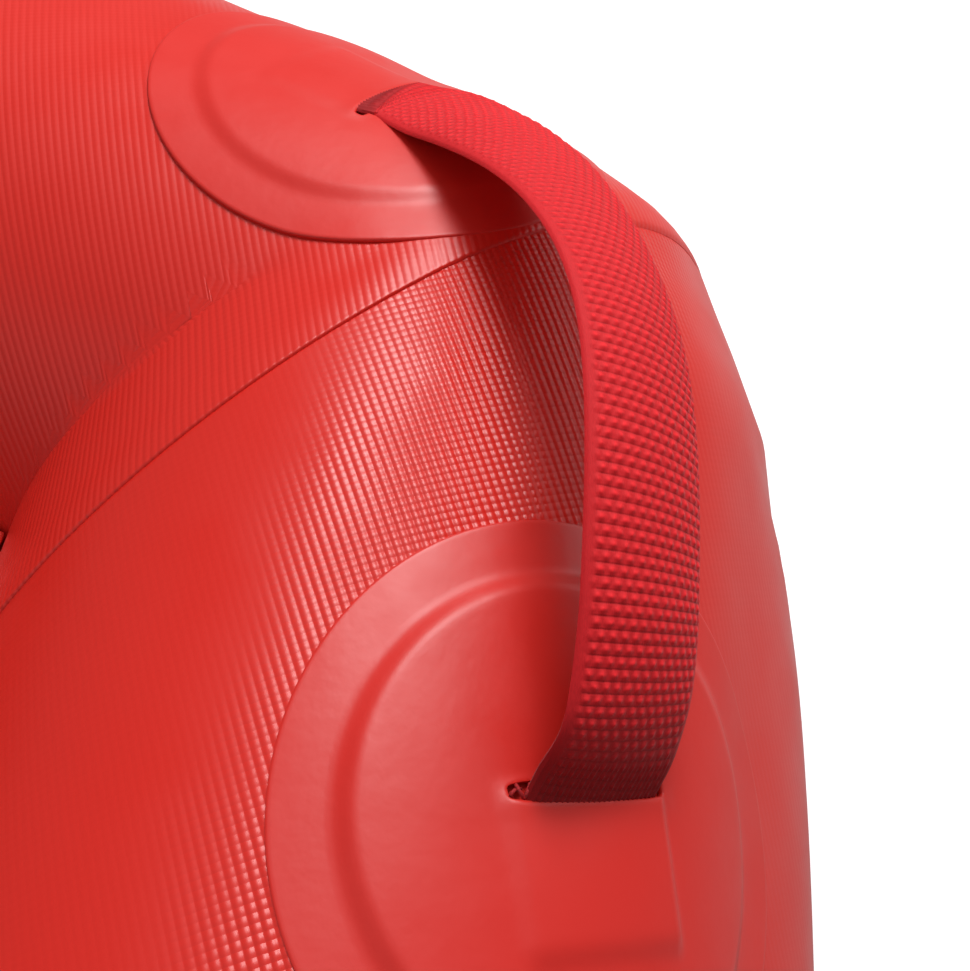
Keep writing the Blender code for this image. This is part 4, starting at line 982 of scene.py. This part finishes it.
def loose_yarns(name, end, flip):
    """Three yarn loops pulled out at the strap's edge in the side slit: half circles standing on the cover."""
    place, normal, along = slit_place(end, "side")
    ahead = np.cross(along, normal)
    ahead = ahead * np.sign(ahead[0] * WAY[end])
    turn = np.linspace(-0.3, math.pi + 0.3, 15)[:, None]
    for number, (shift, radius, lean, yaw) in enumerate(YARN_LOOPS):
        root = place + shift * along + SLIT_AHEAD * ahead + 0.0004 * normal
        flat = math.cos(yaw) * ahead + math.sin(yaw) * along
        path = root + radius * np.cos(turn) * flat + 1.3 * radius * np.sin(turn) * unit(normal + lean * along)
        item = wire("loose_yarn_%s_%d" % (name, number + 1), mirrored(path) if flip else path, YARN_RADIUS,
                    YARN_NORMAL, "webbing", "hull", sides=10)
        item.data.materials[0] = YARN_LOOK


def carry_handles():
    """Straps, inner patches and covers at the four corners."""
    for end in ("bow", "stern"):
        for flip in (False, True):
            name = end + ("_port" if flip else "_starboard")
            carry_strap(name, end, flip)
            loose_yarns(name, end, flip)
            for part, patch in handle_frames(end).items():
                round_patch("%s_%s_backing" % (name, part), patch, BACKING_RADIUS, 0.0006, flip)
                cover_patch("%s_%s_cover" % (name, part), patch, part, flip)


# ---- valves

VALVE_HOLE = 0.0129
VALVE_FLANGE_RADIUS = 0.030
VALVE_FLANGE_HEIGHT = 0.0011
VALVE_SLOPE_FROM, VALVE_SLOPE = 0.0165, 0.007
VALVE_BORE_RADIUS = 0.0090
VALVE_BEVEL = 0.0005
VALVE_SEAT_LEVEL = -0.0115
VALVE_SEAT = 0.0015
VALVE_GUIDE_RADIUS = 0.0019
VALVE_PORT_RADIUS = 0.0017
VALVE_PORT_PLACE = 0.0052
VALVE_PORTS = 4
SPRING_RADIUS = 0.0027
SPRING_WIRE_RADIUS = 0.0003
SPRING_TURNS = 3.5
SPRING_POINTS = 140
SPRING_LOW, SPRING_TOP = VALVE_SEAT_LEVEL + VALVE_SEAT + 0.0003, -0.0027
CAP_RIBS = 24
CAP_RIB = 0.0005
# Profiles turned round a valve's axis: (radius, height over the sheet) in millimetres
BODY_PROFILE = ((9.0, 3.7), (15.5, 3.7), (15.5, 1.7), (12.5, 1.7), (12.5, -14.0), (9.0, -14.0))
PLUNGER_PROFILE = ((0.05, -1.3), (2.52, -1.2), (3.36, -1.0), (3.9, -1.0), (4.2, -1.3), (4.2, -2.4),
                   (1.4, -2.4), (1.4, -11.8), (7.6, -11.8), (7.8, -12.0), (7.8, -12.8), (7.6, -13.0),
                   (0.05, -13.0))
CAP_PROFILE = ((0.05, 9.2), (7.8, 9.2), (8.4, 9.8), (9.0, 10.0), (11.5, 10.0), (11.9, 9.6), (12.0, 9.0),
               (12.0, 7.5), (12.5, 7.0), (14.3, 7.0), (14.8, 6.5), (14.8, 4.4), (14.4, 4.0), (8.6, 4.0),
               (8.6, 0.5), (8.1, 0.0), (7.2, 0.0), (7.2, 4.3), (0.05, 4.3))
CAP_GRIP_SIDE = (0.0118, 0.0121)


def valve_flange(name, place, level):
    """A fabric ring laid on a curved sheet; its inner part rises to the flat rim of the valve."""
    slope_to = VALVE_SLOPE_FROM + VALVE_SLOPE
    radii = np.concatenate([np.linspace(VALVE_HOLE, VALVE_SLOPE_FROM, 5),
                            np.linspace(VALVE_SLOPE_FROM + 0.001, slope_to, 8),
                            np.linspace(slope_to + 0.001, VALVE_FLANGE_RADIUS - 0.0006, 6),
                            VALVE_FLANGE_RADIUS - np.array([0.0002, 0.0, 0.0])])
    height = np.full(len(radii), VALVE_FLANGE_HEIGHT)
    height[-3:] = VALVE_FLANGE_HEIGHT - 0.0001, VALVE_FLANGE_HEIGHT - 0.0005, -0.0002
    curved = place(radii[:, None, None] * plan_vector(round_angles(PATCH_COLUMNS)))
    raised = fading(radii, VALVE_SLOPE_FROM, VALVE_SLOPE)[:, None]
    curved[..., 2] += (level - curved[..., 2]) * raised + height[:, None]
    item = surface("patch_" + name, curved, "patch_fabric", "hull", UP, wrap=True, wall=COVER_WALL)
    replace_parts(item, name)


def valve_seat(name, base, number):
    """One sector of the seat: rings morph from its round air port to the sector's outline."""
    circle = plan_vector(round_angles(64))
    square = circle / np.abs(circle).max(axis=1, keepdims=True)
    middle = 2 * math.pi * (number + 0.5) / VALVE_PORTS
    half = (VALVE_BORE_RADIUS + 0.0002 - VALVE_GUIDE_RADIUS) / 2
    radius = VALVE_GUIDE_RADIUS + half + half * square[:, :1]
    outline = radius * plan_vector(middle + square[:, 1] * math.pi / VALVE_PORTS)
    ahead, aside = plan_vector(middle), plan_vector(middle + math.pi / 2)
    port = VALVE_PORT_PLACE * ahead + VALVE_PORT_RADIUS * (circle[:, :1] * ahead + circle[:, 1:] * aside)
    share = np.array([0.0, 0.04, 0.12, 0.3, 0.6, 1.0])[:, None, None]
    flat = port * (1 - share) + outline * share
    drop = np.array([-0.0003, -0.0001, 0.0, 0.0, 0.0, 0.0])[:, None, None]
    grid = np.concatenate([flat, np.broadcast_to(drop, (*flat.shape[:2], 1))], axis=2)
    grid = grid + base + (VALVE_SEAT_LEVEL + VALVE_SEAT) * UP
    surface("%s_seat_%d" % (name, number + 1), grid, "valve_plastic", "hull", UP, wrap=True, wall=VALVE_SEAT)


def valve(name, base):
    """A valve's body with its seat, and its plunger, spring and cap, turned finely."""
    def ribs(angle, radius):
        on_side = (radius > CAP_GRIP_SIDE[0]) & (radius < CAP_GRIP_SIDE[1])
        return np.where(on_side, -CAP_RIB * (0.5 - 0.5 * np.cos(CAP_RIBS * angle)) ** 2, 0.0)

    body, plunger, cap = (np.array(profile) / 1000 for profile in (BODY_PROFILE, PLUNGER_PROFILE, CAP_PROFILE))
    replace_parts(turned(name + "_housing", rounded(body, VALVE_BEVEL), base, "valve_plastic", "hull", 96),
                name + "_body")
    for number in range(VALVE_PORTS):
        valve_seat(name, base, number)
    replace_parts(turned(name + "_plunger", plunger, base, "poppet_plastic", name + "_poppet_body", 64),
                name + "_poppet")
    turn = np.linspace(0.0, SPRING_TURNS * 2 * math.pi, SPRING_POINTS)
    height = np.linspace(SPRING_LOW + SPRING_WIRE_RADIUS, SPRING_TOP - SPRING_WIRE_RADIUS, SPRING_POINTS)
    coil = wire(name + "_coil", base + np.column_stack([SPRING_RADIUS * plan_vector(turn), height]),
                SPRING_WIRE_RADIUS, UP, "spring_steel", "hull", sides=10)
    coil.parent = None
    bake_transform(coil)
    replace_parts(coil, name + "_spring")
    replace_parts(turned(name + "_lid", cap, base, "valve_plastic", name + "_cap_body", 240, ribs), name + "_cap")


def valves():
    """The tubes' valve on the stern tube's crest and the deck's on the crest of its middle lobe."""
    patch = tube_frame(TUBE_VALVE_AT, 0.0)
    valve_flange("tube_valve_flange", lambda flat: lay_on_tube(patch, flat)[0], patch[0][2])
    valve("tube_valve", patch[0])
    base = deck_top(DECK_VALVE_AT)
    valve_flange("deck_valve_flange", lambda flat: deck_top(flat + DECK_VALVE_AT), base[2])
    valve("deck_valve", base)


# ---- towing rings

RING_TILT = math.radians(50)
RING_PATCH_RADIUS, RING_PATCH = 0.030, 0.0012
RING_WIRE_RADIUS = 0.0025
RING_HALF_BAR = 0.0165
RING_REACH = 0.021
RING_CORNER = 0.004
LOOP_WIDTH = 0.025
LOOP_STRAP = 0.0016
LOOP_GAP = 0.00035
LOOP_LEG = 0.020
LOOP_RELIEF = 0.0002
LOOP_COLUMNS = 13
LOOP_TURN = RING_WIRE_RADIUS + LOOP_GAP + LOOP_STRAP / 2
LOOP_LEVEL = 0.0004 + 0.0009 + LOOP_GAP + LOOP_STRAP / 2


def towing_ring(name, station):
    """A towing ring: patch on the tube, a webbing loop round the bar, and a D of round rod."""
    patch = tube_frame(station, RING_TILT)
    middle, along, outer, outward = patch
    round_patch(name + "_patch", patch, RING_PATCH_RADIUS, RING_PATCH)

    def around(travel, height):
        angle = (travel / TUBE_RADIUS)[..., None]
        reach = np.cos(angle) * outward + np.sin(angle) * outer
        return middle - TUBE_RADIUS * outward + (TUBE_RADIUS + height)[..., None] * reach

    bar = np.array([LOOP_TURN, LOOP_LEVEL + LOOP_TURN])
    bend = bar + LOOP_TURN * plan_vector(np.radians(np.linspace(-90, 115, 36)))
    upper = LOOP_LEVEL + LOOP_STRAP + LOOP_GAP
    path = np.concatenate([np.linspace([-LOOP_LEG, LOOP_LEVEL], [-0.001, LOOP_LEVEL], 24), bend,
                           np.linspace([-0.004, upper], [-LOOP_LEG, upper], 20)])
    line = blended(around(path[:, 0], path[:, 1]), np.linspace(0.0, 1.0, 240))
    run = unit(np.gradient(line, axis=0))
    rise = np.cross(run, np.broadcast_to(along, run.shape))[:, None]
    length = length_along(line)[:, None]
    places, face, plump = strap_section(4 * LOOP_COLUMNS, 10)
    pattern = weave((places + 0.5) * LOOP_COLUMNS * WEAVE_COLUMN, length)
    half = (LOOP_STRAP / 2 - LOOP_RELIEF + LOOP_RELIEF * pattern) * plump
    grid = line[:, None] + (places * LOOP_WIDTH)[:, None] * along + (face * half)[..., None] * rise
    uv = strap_threads(places * LOOP_WIDTH + LOOP_COLUMNS / 2 * WEAVE_COLUMN, length)
    item = surface(name + "_webbing", grid, "webbing", "hull", face[:, None] * rise, uv=uv, wrap=True,
                   caps=True)
    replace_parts(item, name + "_loop")

    # The rod's path in the ring's plane: the bar, a corner, the bow and the other corner
    turn = bar[0] / TUBE_RADIUS
    reach = math.cos(turn) * outer - math.sin(turn) * outward
    straight = RING_HALF_BAR - RING_CORNER
    corner = RING_CORNER * plan_vector(np.radians(np.linspace(-90, 0, 10))[1:]) + [straight, RING_CORNER]
    bow = plan_vector(np.radians(np.linspace(0, 180, 60))[1:-1])
    bow = bow * [RING_HALF_BAR, RING_REACH - RING_CORNER] + [0.0, RING_CORNER]
    flat = np.concatenate([np.linspace([-straight, 0.0], [straight, 0.0], 24), corner, bow,
                           corner[::-1] * [-1.0, 1.0]])
    path = around(*bar) + flat[:, :1] * along + flat[:, 1:] * reach
    item = wire(name + "_rod", path, RING_WIRE_RADIUS, np.cross(along, reach), "ring_steel", name + "_body",
                closed=True)
    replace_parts(item, name)


# ---- light, floor and camera

CAMERA_PLACE = (0.20479, -0.25685, 0.30593)
CAMERA_TURN = (0.5676940, -0.0123170, -1.4340722)
CAMERA_LENS = 46.558
BOW_CORNER = Vector((0.33, -0.20, 0.10))
KEY_WAY = Vector((0.54, -0.14, 0.83))
KEY_AWAY = 0.80
# Each soft box: where it stands, what it looks at, its size and its radiance
LIGHTS = {"key_box": (BOW_CORNER + KEY_AWAY * KEY_WAY, BOW_CORNER, 0.33, 15.4),
          "ceiling_box": (Vector((0.6, -0.1, 2.0)), Vector((0.2, -0.1, 0.0)), 1.8, 0.4),
          "side_box": (Vector((1.09, -0.96, 0.74)), BOW_CORNER, 0.66, 2.0),
          "fill_box": (Vector((-1.0, 0.9, 1.5)), Vector((0.0, 0.0, 0.1)), 1.2, 0.5)}
SURROUND = 0.22
FLOOR_SIZE = 20.0
FLOOR_GREY = 0.50
FLOOR_WHITE = 0.68


def set_camera():
    """The photograph's own view: close above the starboard bow corner."""
    camera = placed("camera", bpy.data.cameras.new("camera"))
    camera.location, camera.rotation_euler = CAMERA_PLACE, CAMERA_TURN
    camera.data.sensor_fit = 'HORIZONTAL'
    camera.data.sensor_width = 36.0
    camera.data.lens = CAMERA_LENS
    camera.data.clip_start = 0.01
    bpy.context.scene.camera = camera


def set_lights():
    """Soft boxes over the starboard bow, overhead, abeam and astern, and a surround that looks white.

    A box's power is its radiance times pi times its area.
    """
    for name, (place, aim, size, radiance) in LIGHTS.items():
        lamp = bpy.data.lights.new(name, 'AREA')
        lamp.shape = 'SQUARE'
        lamp.size = size
        lamp.energy = radiance * math.pi * size * size
        item = placed(name, lamp)
        item.location = place
        item.rotation_euler = (aim - place).to_track_quat('-Z', 'Y').to_euler()
    look = Nodes("surround", "worlds")
    seen = look.add('LightPath').outputs['Is Camera Ray']
    back = look.feed(look.nodes["Background"], {'Color': (1.0, 0.99, 0.98, 1.0), 'Strength': SURROUND})
    mix = look.add('MixShader', {0: seen, 1: back.outputs[0], 2: look.add('Background').outputs[0]})
    look.feed(look.nodes["World Output"], {'Surface': mix.outputs[0]})
    bpy.context.scene.world = look.owner


def set_floor():
    """A wide pale floor that keeps the shadow: the camera sees it whitened by its own part of light."""
    mesh = bpy.data.meshes.new("floor")
    corners = [(x * FLOOR_SIZE, y * FLOOR_SIZE, 0) for x, y in ((-1, -1), (1, -1), (1, 1), (-1, 1))]
    mesh.from_pydata(corners, [], [(0, 1, 2, 3)])
    look = Nodes("floor_look")
    plain = look.add('BsdfDiffuse', {'Color': (FLOOR_GREY, FLOOR_GREY, FLOOR_GREY, 1.0)})
    white, none = (look.add('Emission', {'Strength': level}) for level in (FLOOR_WHITE, 0.0))
    seen = look.add('LightPath').outputs['Is Camera Ray']
    glow = look.add('MixShader', {0: seen, 1: none.outputs[0], 2: white.outputs[0]})
    both = look.add('AddShader', {0: plain.outputs[0], 1: glow.outputs[0]})
    look.feed(look.nodes["Material Output"], {'Surface': both.outputs[0]})
    mesh.materials.append(look.owner)
    placed("floor", mesh)


set_camera()
finish_frame_nodes()
for panel in PANELS:
    tube_panel(*panel)
air_deck()
carry_handles()
valves()
towing_ring("bow_ring", LINE_LENGTH / 2)
towing_ring("stern_ring", 0.0)
set_lights()
set_floor()
bpy.context.scene.view_settings.view_transform = 'Standard'
